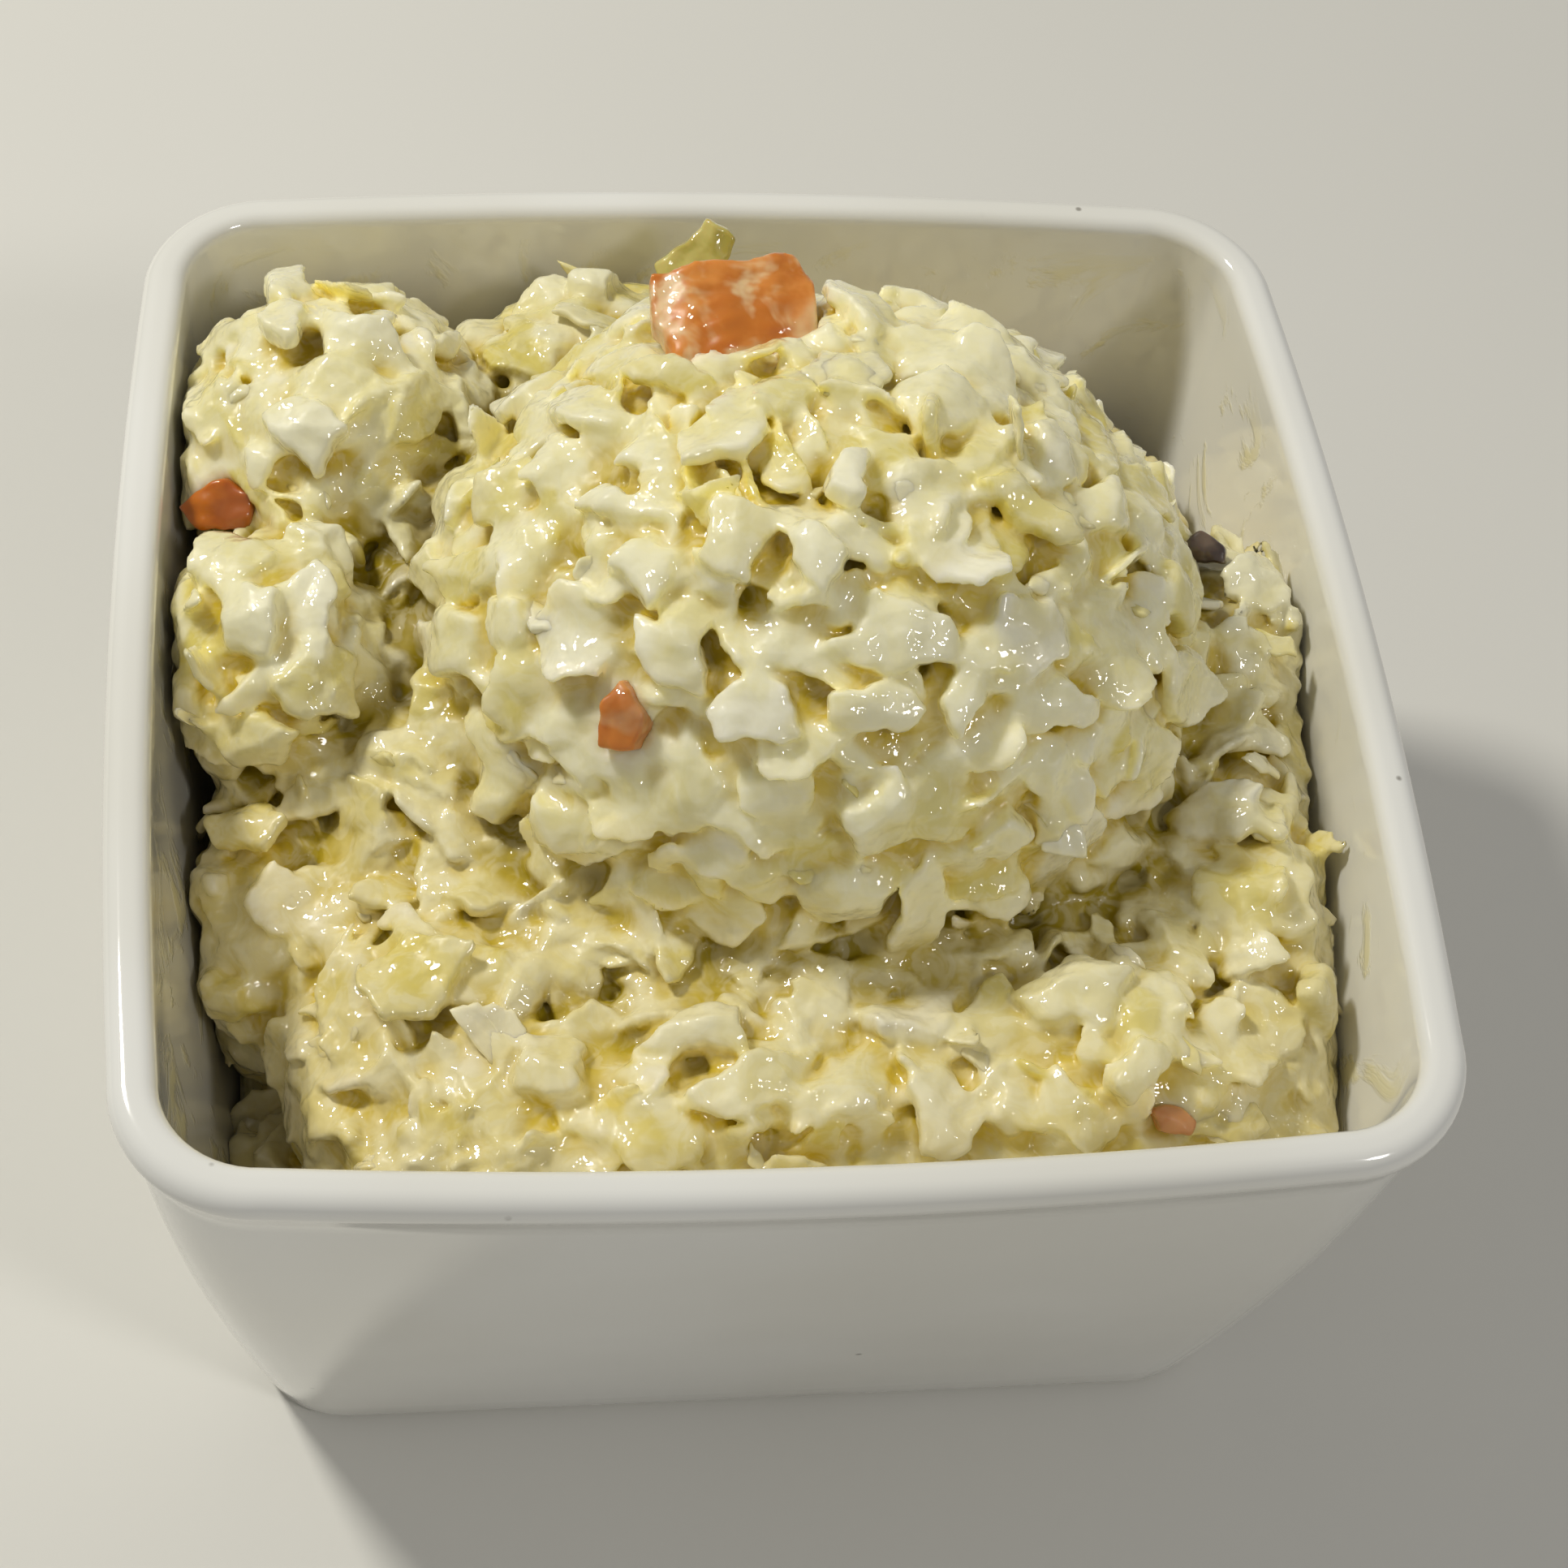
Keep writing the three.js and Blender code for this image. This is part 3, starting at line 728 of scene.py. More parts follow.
def piece_distance(x, y, z, piece):
    """Distance to a cut piece: a cornered slab with ragged round edges, curled and wavy."""
    x, y, z = x - piece["middle"][0], y - piece["middle"][1], z - piece["middle"][2]
    u, v, w = (x * axis[0] + y * axis[1] + z * axis[2] for axis in piece["axes"].astype(np.float32))
    phase = piece["seed"] % 63 / 10
    torn = piece.get("torn", 1.0)
    ragged_u = u + torn * (0.25 * np.sin(1.3 * v + phase) + 0.08 * np.sin(3.9 * v - 2 * phase))
    ragged_v = v + torn * (0.25 * np.sin(1.2 * u - phase) + 0.08 * np.sin(4.3 * u + 3 * phase))
    corners = piece["corners"]
    outline = None
    for (x0, y0), (x1, y1) in zip(corners, np.roll(corners, -1, axis=0)):
        size = math.hypot(x1 - x0, y1 - y0)
        side = ((y1 - y0) * (ragged_u - x0) - (x1 - x0) * (ragged_v - y0)) / size
        outline = side if outline is None else rounded_max(outline, side, piece["soft"])
    edge = outline + piece["round"]
    bulge = 1.12 - 0.4 * np.clip((2 * u / piece["length"]) ** 2 + (2 * v / piece["width"]) ** 2, 0, 1.3)
    face = np.abs(w - sag(piece, u, v)) - bulge * piece["thick"] / 2 + piece["round"]
    corner = np.hypot(np.maximum(edge, 0), np.maximum(face, 0))
    return np.minimum(np.maximum(edge, face), 0) + corner - piece["round"]


def add_piece(field, piece, blend, less=0.0):
    """Joins a piece on, its upper edge under a web of dressing and its lower edge crisp."""
    reach = math.hypot(piece["length"], piece["width"]) / 2 * 1.15 + piece["thick"] / 2
    reach += abs(piece["curl"]) + blend
    slices, (x, y, z) = field.window_round(piece["middle"], reach)
    if min(s.stop - s.start for s in slices) > 1:
        upper = np.clip((z - piece["middle"][2]) / piece["length"] + 0.3, 0, 1)
        distance = piece_distance(x, y, z, piece) + less
        field.join(slices, distance, blend * (1 + WEB * upper), piece["tint"])


# ---------------- surfaces from fields

def net_of(field):
    """Vertices and quads of the surface where the distance is 0, by naive surface nets."""
    grid = field.distance
    inside = grid < 0
    count = np.zeros(tuple(n - 1 for n in grid.shape), np.uint8)
    for i, j, k in np.ndindex(2, 2, 2):
        count += inside[i:i - 1 or None, j:j - 1 or None, k:k - 1 or None]
    cells = np.argwhere((count > 0) & (count < 8))
    number = np.full(count.shape, -1, np.int32)
    number[tuple(cells.T)] = np.arange(len(cells))
    total = np.zeros((len(cells), 3))
    crossings = np.zeros(len(cells))
    for axis in range(3):
        step = np.eye(3, dtype=int)[axis]
        for i, j in np.ndindex(2, 2):
            start = np.insert([i, j], axis, 0)
            a = grid[tuple((cells + start).T)]
            b = grid[tuple((cells + start + step).T)]
            crossed = (a < 0) != (b < 0)
            share = np.where(crossed, a / np.where(crossed, a - b, 1), 0)
            total += crossed[:, None] * (start + step * share[:, None])
            crossings += crossed
    vertices = field.low + (cells + total / crossings[:, None]) * field.voxel
    return vertices, np.concatenate([quads_across(grid, number, axis) for axis in range(3)])


def quads_across(grid, number, axis):
    """The quads of a surface net round the grid's edges along one axis."""
    a, b = (axis + 1) % 3, (axis + 2) % 3
    low = [slice(None)] * 3
    high = [slice(None)] * 3
    low[axis], high[axis] = slice(None, -1), slice(1, None)
    changes = (grid[tuple(low)] < 0) != (grid[tuple(high)] < 0)
    edges = np.argwhere(changes)
    keep = (edges[:, a] > 0) & (edges[:, b] > 0)
    keep &= (edges[:, a] < number.shape[a]) & (edges[:, b] < number.shape[b])
    edges = edges[keep]
    along_a, along_b = np.eye(3, dtype=int)[a], np.eye(3, dtype=int)[b]
    around = [edges - along_a - along_b, edges - along_b, edges, edges - along_a]
    quads = np.stack([number[tuple(cell.T)] for cell in around], axis=1)
    leaves = grid[tuple(edges.T)] < 0
    return np.where(leaves[:, None], quads, quads[:, ::-1])


def mesh_of(name, vertices, faces, normals=None):
    """A smooth mesh from vertices in millimetres and quads."""
    used = np.unique(faces)
    new_number = np.zeros(len(vertices), np.int64)
    new_number[used] = np.arange(len(used))
    mesh = bpy.data.meshes.new(name)
    mesh.vertices.add(len(used))
    mesh.vertices.foreach_set("co", (vertices[used] * MM).astype(np.float32).ravel())
    mesh.loops.add(faces.size)
    mesh.loops.foreach_set("vertex_index", new_number[faces].ravel().astype(np.int32))
    mesh.polygons.add(len(faces))
    mesh.polygons.foreach_set("loop_start", np.arange(0, faces.size, faces.shape[1], dtype=np.int32))
    mesh.update(calc_edges=True)
    mesh.validate()
    mesh.shade_smooth()
    if normals is not None:
        mesh.normals_split_custom_set_from_vertices(normals[used].astype(np.float32))
    return mesh, used


def thinned(vertices, quads):
    """Vertices and triangles of the same surface with fewer faces, most where it bends."""
    mesh, _ = mesh_of("whole", vertices, quads)
    piece = new_object("whole", mesh)
    modifier = piece.modifiers.new("thin", "DECIMATE")
    modifier.ratio = min(1, MOST_TRIANGLES / (2 * len(quads)))
    modifier.use_collapse_triangulate = True
    thin = bpy.data.meshes.new_from_object(piece.evaluated_get(bpy.context.evaluated_depsgraph_get()))
    print(2 * len(quads), "triangles thinned to", len(thin.polygons))
    found = np.empty(len(thin.vertices) * 3)
    thin.vertices.foreach_get("co", found)
    corners = np.empty(len(thin.loops), np.int32)
    thin.loops.foreach_get("vertex_index", corners)
    bpy.data.objects.remove(piece)
    bpy.data.meshes.remove(mesh)
    bpy.data.meshes.remove(thin)
    return found.reshape(-1, 3) / MM, corners.reshape(-1, 3)


def set_attribute(mesh, name, values):
    attribute = mesh.attributes.new(name, "FLOAT", "POINT")
    attribute.data.foreach_set("value", values.astype(np.float32))


def normals_of(field, vertices):
    """Outward normals, from the slope of the distance."""
    step = field.voxel * 0.7
    slope = np.zeros_like(vertices)
    for axis in range(3):
        shift = np.eye(3)[axis] * step
        ahead = field.sample(field.distance, vertices + shift)
        behind = field.sample(field.distance, vertices - shift)
        slope[:, axis] = ahead - behind
    return slope / (np.linalg.norm(slope, axis=1, keepdims=True) + 1e-9)


# ---------------- the slaw

def garnish_piece(name):
    at, facing, turn, (length, width, thick), _ = GARNISH[name]
    seed = list(GARNISH).index(name) + 1
    axes = turned(axes_at(direction(*map(math.radians, facing))), (math.radians(turn), 2))
    return {
        "middle": np.array(at, float),
        "axes": axes,
        "length": length,
        "width": width,
        "thick": thick,
        "corners": np.array(SLAB_CORNERS) if name == "carrot_back" else corners_of(5, length, width, seed),
        "curl": GARNISH_CURL,
        "round": 0.25,
        "soft": 0.3,
        "torn": 0.6,
        "fold": 0,
        "tint": 0.5,
        "seed": seed,
    }


def room_distance(x, y, z):
    """Distance to the bowl's inner wall, straight up from the rim."""
    half, corner, bow = wall_size(z)
    inset = WALL + CLEAR_OF_WALL
    bow_x = bow * np.clip(1 - (y / half) ** 2, 0, 1) * (np.abs(x) > np.abs(y))
    bow_y = bow * np.clip(1 - (x / half) ** 2, 0, 1) * (np.abs(y) >= np.abs(x))
    return square_distance(x, y, half - inset + bow_x + bow_y, np.maximum(corner - inset, LEAST_CORNER))


def slaw_core():
    """The heap's rounded lumps and its bed, flowing into each other."""
    field = Field((-43.6, -43.6, BED_BOTTOM), (43.6, 43.6, 71), VOXEL)
    x, y, z = field.along(0), field.along(1), field.along(2)
    upper = square_distance(x - BED_SHIFT, y, BED_HALF - 1.5, BED_CORNER)
    upper = np.maximum(upper, z - (BED_TOP - CORE_DEPTH))
    field.distance[:] = np.minimum(upper, z - (LOW_BED_TOP - 1))
    for at, half in [row[:2] for row in CLUMPS.values()] + HOLLOWS_FILLED:
        core = np.array(half) - CORE_DEPTH
        slices, (wx, wy, wz) = field.window(np.array(at) - core - 8, np.array(at) + core + 8)
        field.join(slices, ellipsoid_distance(wx, wy, wz, at, core), CORE_BLEND)
    return field


def coat_with_dressing(field):
    """Fills creases and small holes with dressing and leaves most edges crisp."""
    smooth = box_blur(field.distance, max(1, round(FILL_REACH / field.voxel)), 2)
    patches = mottled(field, DRESSING_PATCHES, 3)
    filled = np.clip((patches - 0.42) * 4, 0.1, 1)
    softened = np.clip((patches - 0.6) * 3, 0, 0.35)
    change = smooth - field.distance
    field.distance += np.minimum(change, 0) * filled + np.maximum(change, 0) * softened
    field.distance += UNEVEN * (cloud(field.shape, round(UNEVEN_SIZE / field.voxel), 5) - 0.5)


def add_slaw(field, pieces):
    for piece in pieces:
        if piece["is_loose"]:
            add_piece(field, piece, UNDERCOAT_BLEND, UNDERCOAT)
        else:
            add_piece(field, piece, between(BLENDS, piece["seed"] % 101 / 100))
    coat_with_dressing(field)
    x, y, z = field.along(0), field.along(1), field.along(2)
    gap = WALL_GAP * np.clip(2.4 * mottled(field, WALL_GAP_PATCHES, 8) - 0.9, 0, 1)
    room = room_distance(x, y, z).astype(np.float32) + gap
    field.distance = rounded_max(field.distance, room, WALL_EDGE)
    np.maximum(field.distance, BED_BOTTOM + 1.5 * VOXEL - z, out=field.distance)
    for name in GARNISH:
        piece = garnish_piece(name)
        for lift in POCKET_STEPS:
            piece["middle"] = piece["middle"] + piece["axes"][2] * lift
            slices, (x, y, z) = field.window_round(piece["middle"], piece["length"])
            field.cut(slices, piece_distance(x, y, z, piece) + POCKET_TIGHTER)


class Hollows:
    """How closed in a place is, near it and further round it, for the painted shade in the slaw's creases and
    gaps.
    """

    def __init__(self, field):
        coarse = np.clip(0.5 - field.distance[::2, ::2, ::2] / (3 * field.voxel), 0, 1)
        self.grid = Field.__new__(Field)
        self.grid.low, self.grid.voxel, self.grid.shape = field.low, field.voxel * 2, coarse.shape
        self.near = box_blur(coarse, max(1, round(0.45 / field.voxel)))
        self.far = box_blur(coarse, max(1, round(1.3 / field.voxel)))

    def mark(self, mesh, vertices, normals):
        set_attribute(mesh, "hollow", self.grid.sample(self.near, vertices + normals * 0.2))
        set_attribute(mesh, "deep", self.grid.sample(self.far, vertices + normals * 0.8))


def reach_of(field, names):
    """How far out each place is from the nearest of some lumps, where 1 is on its surface."""
    x, y, z = field.along(0), field.along(1), field.along(2)
    nearest = np.full(field.shape, 1e3, np.float32)
    for at, half, _, _ in (CLUMPS[name] for name in names):
        square = sum(((a - at[i]) / half[i]) ** 2 for i, a in enumerate((x, y, z)))
        np.minimum(nearest, np.sqrt(square), out=nearest)
    return nearest


def build_coated(field, hollows):
    """The core of the heap with all that is coated over with dressing, in a few closed solids."""
    whole = field.distance
    reach = [reach_of(field, names) for names in SHARES.values()]
    pieces = []
    for i, name in enumerate(SHARES):
        others = np.minimum.reduce([other for j, other in enumerate(reach) if j != i])
        border = (reach[i] - others) * REACH_SIZE
        field.distance = np.maximum(whole, border - np.clip(-whole, 0, 2) * SHARE_OVERLAP - 0.1)
        vertices, triangles = thinned(*net_of(field))
        own = normals_of(field, vertices)
        field.distance = whole
        is_shown = np.abs(field.sample(whole, vertices)) < 0.7 * field.voxel
        normals = np.where(is_shown[:, None], normals_of(field, vertices), own)
        mesh, used = mesh_of(name, vertices, triangles, normals)
        set_attribute(mesh, "tint", field.sample(field.tint, vertices[used]))
        set_attribute(mesh, "inner", np.clip(-field.sample(border, vertices[used]) / BORDER_FADE, 0, 1))
        hollows.mark(mesh, vertices[used], normals[used])
        pieces.append(new_object(name, mesh))
    return pieces


def build_loose(name, pieces, hollows):
    """One mesh of many loose bits, each of them closed."""
    surfaces = [surface_of(piece) for piece in pieces]
    starts = np.cumsum([0] + [len(vertices) for vertices, _ in surfaces])
    vertices = np.concatenate([surface[0] for surface in surfaces])
    triangles = np.concatenate([surface[1] + start for surface, start in zip(surfaces, starts)])
    mesh, used = mesh_of(name, vertices, triangles)
    tint = np.repeat([piece["tint"] for piece in pieces], [len(surface[0]) for surface in surfaces])
    normals = np.empty(len(used) * 3)
    mesh.vertices.foreach_get("normal", normals)
    set_attribute(mesh, "tint", tint[used])
    set_attribute(mesh, "inner", np.ones(len(used)))
    hollows.mark(mesh, vertices[used], normals.reshape(-1, 3))
    print(name, len(pieces), "bits,", len(triangles), "triangles")
    return new_object(name, mesh)


def build_slaw():
    field = slaw_core()
    pieces = all_pieces(field)
    add_slaw(field, pieces)
    hollows = Hollows(field)
    loose = [piece for piece in pieces if piece["is_loose"]]
    kinds = {
        "slaw_flakes": [piece for piece in loose if piece["width"] > 0.6 * piece["length"]],
        "slaw_strips": [piece for piece in loose if piece["width"] <= 0.6 * piece["length"]],
    }
    meshes = [build_loose(name, bits, hollows) for name, bits in kinds.items()]
    return build_coated(field, hollows) + meshes


def build_slaw_below():
    """The slaw under the part that shows, out to the wall and down to the floor."""
    clear = WALL + GAP
    rings = []
    for angle in np.radians((90, 60, 30, 0)):
        z = FLOOR + GAP + FLOOR_ROUND * (1 - math.sin(angle))
        rings.append(wall_ring(z, clear + FLOOR_ROUND * (1 - math.cos(angle))))
    rings += [wall_ring(z, clear) for z in (13, BED_BOTTOM + VOXEL)]
    return new_object("slaw_below", ring_mesh("slaw_below", rings))


def build_garnish(name):
    piece = garnish_piece(name)
    reach = piece["length"] / 2 * 1.2 + 1
    field = Field(piece["middle"] - reach, piece["middle"] + reach, piece["length"] / 42)
    add_piece(field, piece, 0.1)
    low, high = (np.array(corner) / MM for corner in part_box(name))
    low, high = low - GARNISH_LEEWAY, high + GARNISH_LEEWAY
    x, y, z = field.along(0), field.along(1), field.along(2)
    limits = [low[0] - x, x - high[0], low[1] - y, y - high[1], low[2] - z, z - high[2]]
    for limit in limits:
        np.maximum(field.distance, limit.astype(np.float32), out=field.distance)
    vertices, quads = net_of(field)
    mesh, _ = mesh_of(name + "_wet", vertices, quads, normals_of(field, vertices))
    return new_object(name + "_wet", mesh)


# ---------------- the bowl's surface

def build_bowl():
    rings = []
    for angle in np.radians(np.linspace(0, 90, 6)):
        rings.append(wall_ring(FOOT_ROUND * (1 - math.cos(angle)), FOOT_ROUND * (1 - math.sin(angle))))
    rings[0][:, 2] = 0
    crease = BOWL_HEIGHT - 2 * BEAD_ROUND
    rings += [wall_ring(z, 0) for z in np.linspace(FOOT_ROUND, crease, 18)[1:]]
    for angle in np.radians(np.linspace(-55, 90, 12)):
        inset = BEAD_ROUND - BEAD_OUT - BEAD_ROUND * math.cos(angle)
        rings.append(wall_ring(BOWL_HEIGHT, inset, BEAD_ROUND * (1 - math.sin(angle))))
    for angle in np.radians(np.linspace(90, 0, 8)):
        inset = WALL - LIP_ROUND + LIP_ROUND * math.cos(angle)
        rings.append(wall_ring(BOWL_HEIGHT, inset, LIP_ROUND * (1 - math.sin(angle))))
    first_inner = len(rings)
    rings += [wall_ring(z, WALL) for z in np.linspace(BOWL_HEIGHT - 2 * LIP_ROUND, FLOOR + FLOOR_ROUND, 18)]
    for angle in np.radians(np.linspace(0, 90, 9))[1:]:
        inset = WALL + FLOOR_ROUND * (1 - math.cos(angle))
        rings.append(wall_ring(FLOOR + FLOOR_ROUND * (1 - math.sin(angle)), inset))
    mesh = ring_mesh("porcelain_bowl", rings)
    heights = np.concatenate(rings)[:, 2]
    is_inner = np.repeat(np.arange(len(rings)) >= first_inner, len(rings[0]))
    set_attribute(mesh, "inside", is_inner * np.clip((SMEAR_TOP - heights) / 5, 0, 1))
    return new_object("porcelain_bowl", mesh)


# ---------------- materials

class Shader:
    """A material's nodes, added and joined by short calls."""

    def __init__(self, name):
        self.material = bpy.data.materials.new(name)
        self.material.use_nodes = True
        self.tree = self.material.node_tree
        self.surface = self.tree.nodes["Principled BSDF"]

    def node(self, kind, inputs=None, **settings):
        node = self.tree.nodes.new(kind)
        for name, value in settings.items():
            setattr(node, name, value)
        for name, value in (inputs or {}).items():
            self.put(node.inputs[name], value)
        return node

    def put(self, socket, value):
        """Joins a node to a socket, or sets its value or the code of its colour there."""
        if isinstance(value, bpy.types.NodeSocket):
            self.tree.links.new(value, socket)
        else:
            socket.default_value = linear(value) if isinstance(value, str) else value

    def set(self, **values):
        for name, value in values.items():
            self.put(self.surface.inputs[name.replace("_", " ")], value)

    def place(self):
        return self.node("ShaderNodeTexCoord").outputs["Object"]

    def height(self):
        return self.node("ShaderNodeSeparateXYZ", {"Vector": self.place()}).outputs["Z"]

    def noise(self, scale, detail=3.0, roughness=0.55, distortion=0.0):
        inputs = {"Vector": self.place(), "Scale": scale, "Detail": detail, "Roughness": roughness,
                  "Distortion": distortion}
        return self.node("ShaderNodeTexNoise", inputs).outputs["Fac"]

    def cells(self, scale):
        inputs = {"Vector": self.place(), "Scale": scale}
        return self.node("ShaderNodeTexVoronoi", inputs).outputs["Distance"]

    def attribute(self, name):
        return self.node("ShaderNodeAttribute", attribute_name=name).outputs["Fac"]

    def spread(self, value, low, high, to_low=0.0, to_high=1.0):
        inputs = {"Value": value, "From Min": low, "From Max": high, "To Min": to_low, "To Max": to_high}
        return self.node("ShaderNodeMapRange", inputs, interpolation_type="SMOOTHSTEP").outputs["Result"]

    def mix(self, share, first, second):
        node = self.node("ShaderNodeMix", data_type="RGBA")
        for socket, value in zip((node.inputs[0], node.inputs[6], node.inputs[7]), (share, first, second)):
            self.put(socket, value)
        return node.outputs[2]

    def math(self, operation, first, second=0.0):
        node = self.node("ShaderNodeMath", operation=operation)
        self.put(node.inputs[0], first)
        self.put(node.inputs[1], second)
        return node.outputs[0]

    def bump(self, height, strength, distance, normal=None):
        inputs = {"Height": height, "Strength": strength, "Distance": distance}
        if normal is not None:
            inputs["Normal"] = normal
        return self.node("ShaderNodeBump", inputs).outputs["Normal"]


def linear(code):
    """A linear colour from a screen colour such as d9d3a0."""
    values = [int(code[i:i + 2], 16) / 255 for i in (0, 2, 4)]
    return tuple(v / 12.92 if v < 0.04045 else ((v + 0.055) / 1.055) ** 2.4 for v in values) + (1.0,)


def wet(shader, bumps, gloss):
    """The sheen of food in thin dressing: a clear wet coat whose ripples catch small glints."""
    grain = shader.bump(shader.noise(bumps, 2, 0.6), 0.6, 0.0005)
    ripples = shader.bump(shader.noise(460, 0.5), 1.0, 0.0005)
    ripples = shader.bump(shader.noise(1300, 0.5), 1.0, 0.00025, ripples)
    shader.set(IOR=1.45, Specular_IOR_Level=0.35, Normal=grain, Coat_Normal=ripples)
    shader.set(Coat_Weight=gloss, Coat_Roughness=0.035, Coat_IOR=1.65)


def slaw_material(name, pale, depth):
    """Cabbage in dressing: pale on top, with painted shade golden in creases, olive in deep gaps and darker
    low down, and a painted highlight on crests.
    """
    shader = Shader(name)
    tint, hollow = shader.attribute("tint"), shader.attribute("hollow")
    body = shader.mix(shader.spread(tint, 0.55, 0.95), pale, "dccc68")
    body = shader.mix(shader.spread(tint, 0.25, 0.0), body, "efead0")
    patches = shader.spread(shader.noise(170, 1.5), 0.42, 0.62)
    body = shader.mix(shader.math("MULTIPLY", patches, 0.5), body, "e2d586")
    # Whiter on convex crests: a painted highlight, partly the paler cream there too.
    body = shader.mix(shader.spread(hollow, 0.36, 0.22, 0.0, 0.25), body, "f3f2e4")
    # Darker and yellower from the rim down: painted shade of the slaw low in the bowl.
    shade_below_rim = shader.spread(shader.height(), 0.05, 0.036, 0.0, 0.4)
    body = shader.mix(shade_below_rim, body, "d3b85a")
    # Golden in creases and olive in the deep gaps: painted shade where the slaw is closed in.
    crease_shaded = shader.mix(shader.spread(hollow, 0.41, 0.6), body, "d1b636")
    closed_in = shader.spread(shader.attribute("deep"), 0.45, 0.68)
    deep = shader.mix(closed_in, crease_shaded, "94800a")
    veins = shader.spread(shader.noise(420, 2, 0.6, 1.5), 0.42, 0.6)
    shader.set(Base_Color=shader.mix(shader.math("MULTIPLY", veins, 0.2), deep, "f6f2da"))
    shader.set(Roughness=shader.spread(shader.noise(500, 0.5), 0.35, 0.65, 0.35, 0.55))
    inner = shader.spread(shader.attribute("inner"), 0.1, 1.0, 0.0, 0.85)
    shader.set(Subsurface_Weight=inner, Subsurface_Scale=depth, Subsurface_Radius=(1.0, 0.92, 0.35))
    shader.surface.subsurface_method = "BURLEY"
    wet(shader, 420, shader.spread(closed_in, 0.0, 1.0, 1.0, 0.1))
    return shader.material


def carrot_material(name, film, dark, bright):
    """Orange flesh, darker at places, with thin cream drawn over it."""
    shader = Shader(name)
    flesh = shader.mix(shader.spread(shader.noise(300, 3), 0.38, 0.62), dark, bright)
    cream = shader.spread(shader.noise(230, 3, 0.6, 0.4), 0.44, 0.62, 0.0, film)
    shader.set(Base_Color=shader.mix(cream, flesh, "e8ca98"), Roughness=0.35)
    shader.set(Subsurface_Weight=0.5, Subsurface_Scale=0.0012, Subsurface_Radius=(1.0, 0.5, 0.2))
    wet(shader, 300, 0.6)
    return shader.material


def leaf_material(name, first, second):
    shader = Shader(name)
    patches = shader.spread(shader.noise(350, 3), 0.4, 0.62)
    shader.set(Base_Color=shader.mix(patches, first, second), Roughness=0.3)
    shader.set(Subsurface_Weight=0.25, Subsurface_Scale=0.001)
    wet(shader, 300, 0.8)
    return shader.material


def porcelain_material():
    """White glaze, a little wavy, with tiny pits and thin smears of dressing on the inside."""
    shader = Shader("porcelain")
    glaze = shader.mix(shader.spread(shader.noise(25, 2), 0.35, 0.65), "eae9e4", "e3e1d9")
    pits = shader.spread(shader.cells(260), 0.09, 0.03, 0.0, 0.75)
    pits = shader.math("MULTIPLY", pits, shader.spread(shader.noise(70, 2), 0.56, 0.64))
    glaze = shader.mix(pits, glaze, "6f685c")
    smears = shader.spread(shader.noise(95, 5, 0.62, 1.5), 0.54, 0.66, 0.0, 0.7)
    smears = shader.math("MULTIPLY", smears, shader.attribute("inside"))
    shader.set(Base_Color=shader.mix(smears, glaze, "e2d9a6"))
    dull = shader.spread(shader.noise(60, 3), 0.4, 0.7, 0.07, 0.13)
    shader.set(Roughness=shader.math("ADD", dull, shader.math("MULTIPLY", smears, 0.25)))
    shader.set(IOR=1.5, Coat_Weight=0.4, Coat_Roughness=0.03)
    waves = shader.bump(shader.noise(45, 2), 0.25, 0.001)
    shader.set(Normal=shader.bump(smears, 0.4, 0.0003, shader.bump(pits, -0.5, 0.0003, waves)))
    return shader.material


def floor_material():
    shader = Shader("floor")
    shader.set(Base_Color=shader.mix(shader.noise(8, 2), "dddbd5", "d5d3cc"), Roughness=0.6)
    return shader.material


def dress(piece, slot, material, *nodes):
    """Gives a piece its material and ties it to the part."""
    piece.data.materials.clear()
    piece.data.materials.append(material)
    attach(piece, "root")
    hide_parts(*nodes)


# ---------------- studio

CAMERA_AT = Vector((-0.0271, -0.1331, 0.2179))
CAMERA_TARGET = Vector((0.00455, 0.0042, 0.025))
CAMERA_ROLL = math.radians(9.57)
CAMERA_LENS = 68.17
SENSOR = 36.0


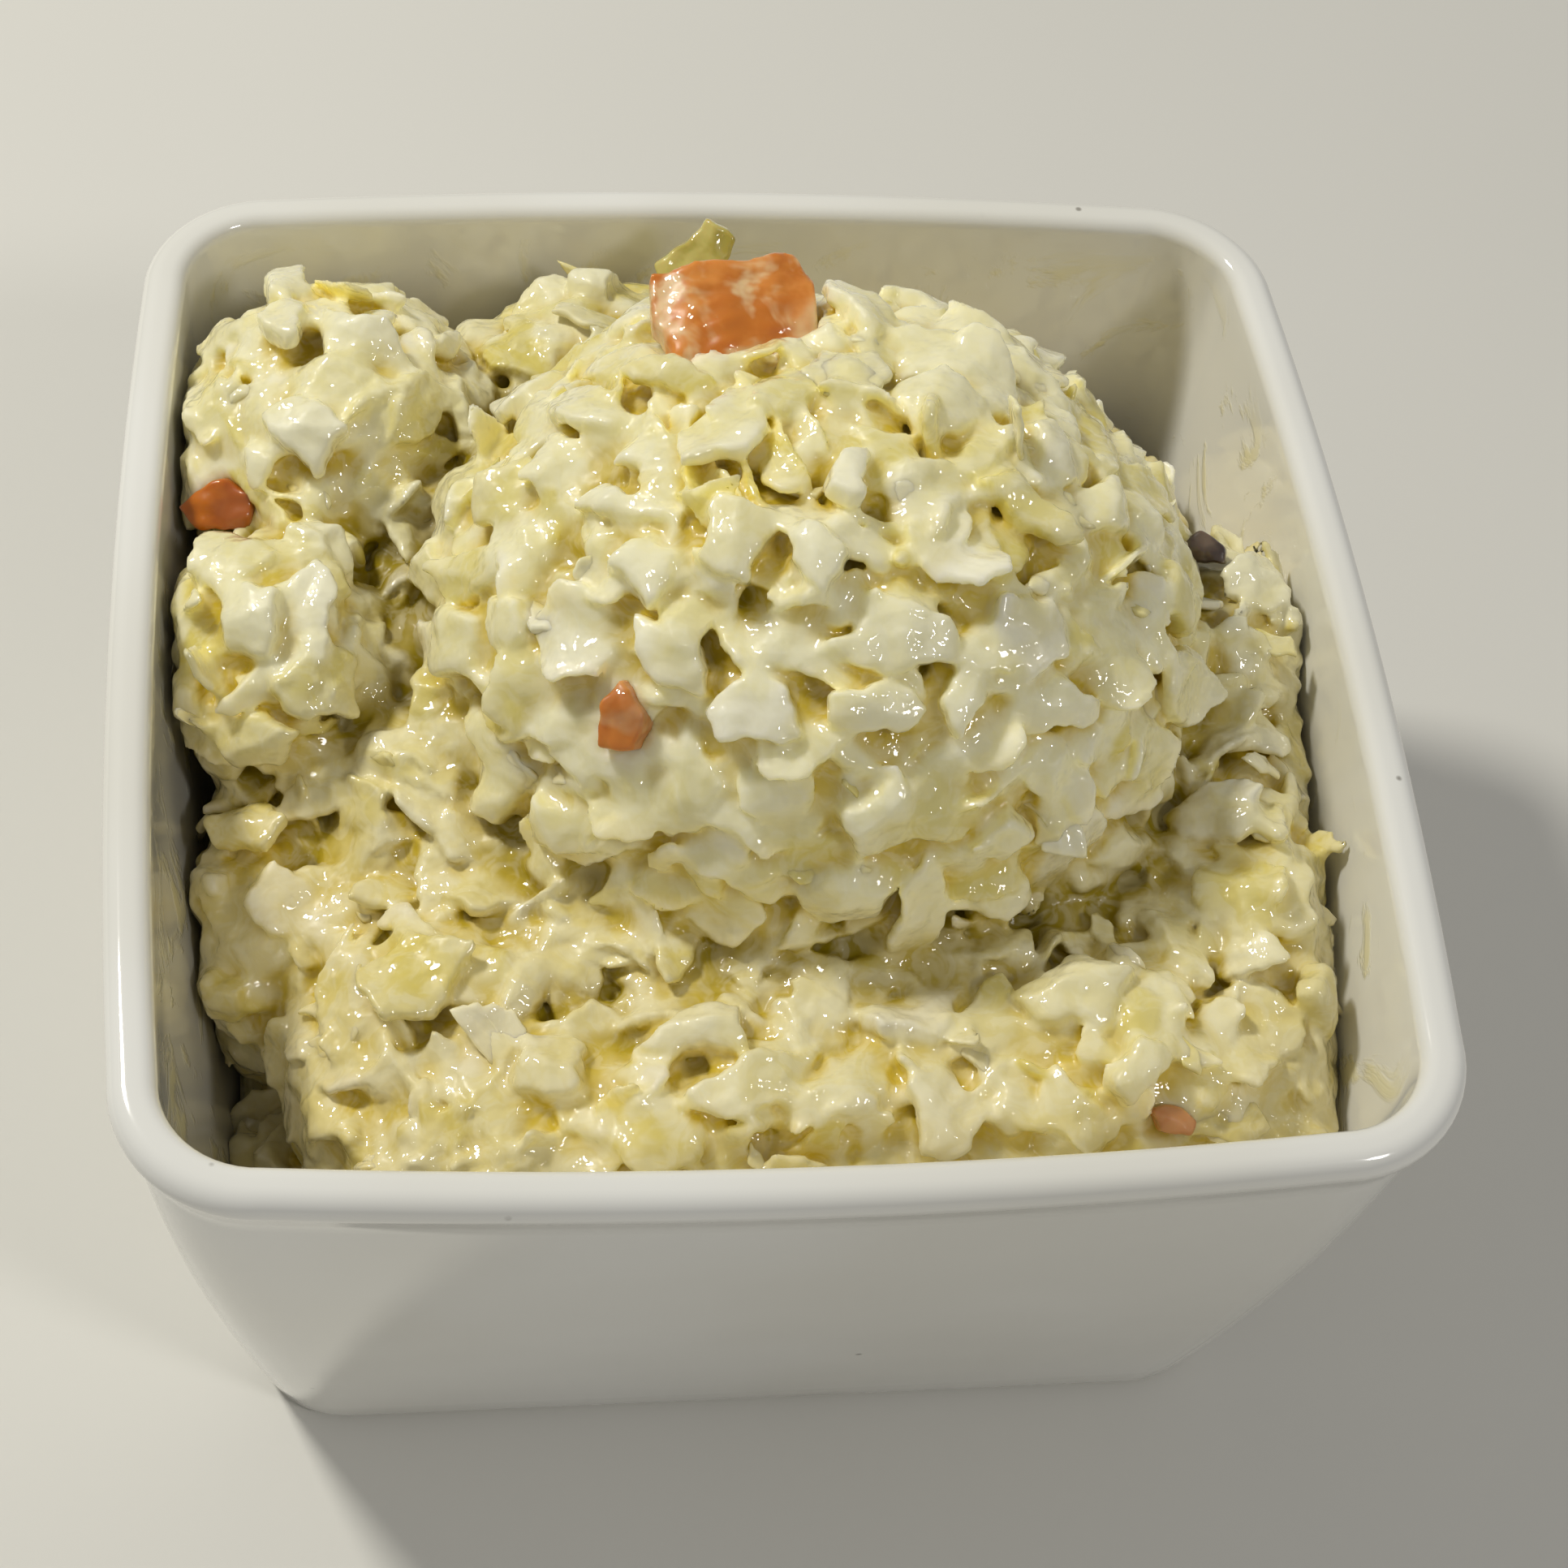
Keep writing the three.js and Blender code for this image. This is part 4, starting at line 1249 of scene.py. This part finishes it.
def add_camera():
    camera = new_object("camera", bpy.data.cameras.new("camera"))
    camera.data.lens = CAMERA_LENS
    camera.data.sensor_width = SENSOR
    camera.data.clip_start = 0.01
    camera.location = CAMERA_AT
    looking = (CAMERA_TARGET - CAMERA_AT).to_track_quat("-Z", "Y")
    camera.rotation_mode = "QUATERNION"
    camera.rotation_quaternion = looking @ Quaternion((0, 0, 1), CAMERA_ROLL)
    bpy.context.scene.camera = camera


def add_light(name, at, target, size, power, colour):
    light = new_object(name, bpy.data.lights.new(name, "AREA"))
    light.data.shape = "DISK"
    light.data.size = size
    light.data.energy = power
    light.data.color = colour
    light.location = at
    light.rotation_euler = (Vector(target) - Vector(at)).to_track_quat("-Z", "Y").to_euler()


def add_studio():
    bpy.ops.mesh.primitive_plane_add(size=3)
    floor = bpy.context.object
    floor.name = "floor"
    floor.data.materials.append(floor_material())
    world = bpy.data.worlds.new("studio")
    bpy.context.scene.world = world
    world.use_nodes = True
    world.node_tree.nodes["Background"].inputs["Color"].default_value = (0.9, 0.9, 0.88, 1)
    world.node_tree.nodes["Background"].inputs["Strength"].default_value = 0.3
    middle = (0, 0, 0.03)
    add_light("key", (-0.34, 0.25, 0.53), middle, 0.1, 2.75, (1.0, 0.98, 0.9))
    add_light("fill", (0.5, -0.5, 0.7), middle, 0.16, 1.55, (1.0, 0.98, 0.95))
    bpy.context.scene.view_settings.view_transform = "Standard"


# ---------------- assembly

add_camera()
add_studio()

coated = slaw_material("coated", "f1eabe", 0.0022)
cabbage = slaw_material("cabbage", "efe8c2", 0.0004)
for slaw_piece in build_slaw():
    dress(slaw_piece, "slaw", coated if slaw_piece.name in SHARES else cabbage, "coleslaw")
dress(build_slaw_below(), "slaw", coated, "coleslaw")

garnish_materials = {
    "carrot_back": carrot_material("carrot_creamy", 0.85, "c8741c", "dd8f3c"),
    "carrot_left": carrot_material("carrot_bare", 0.05, "a65204", "bd680a"),
    "carrot": carrot_material("carrot", 0.3, "b46210", "cc7c2c"),
    "purple_leaf": leaf_material("purple_leaf", "3a2c26", "665444"),
    "green_leaf": leaf_material("green_leaf", "cfc270", "b5a648"),
}
for garnish_name, garnish_row in GARNISH.items():
    slot = garnish_row[4]
    material = garnish_materials.get(garnish_name) or garnish_materials[slot]
    dress(build_garnish(garnish_name), slot, material, garnish_name)

dress(build_bowl(), "porcelain", porcelain_material(), "bowl")
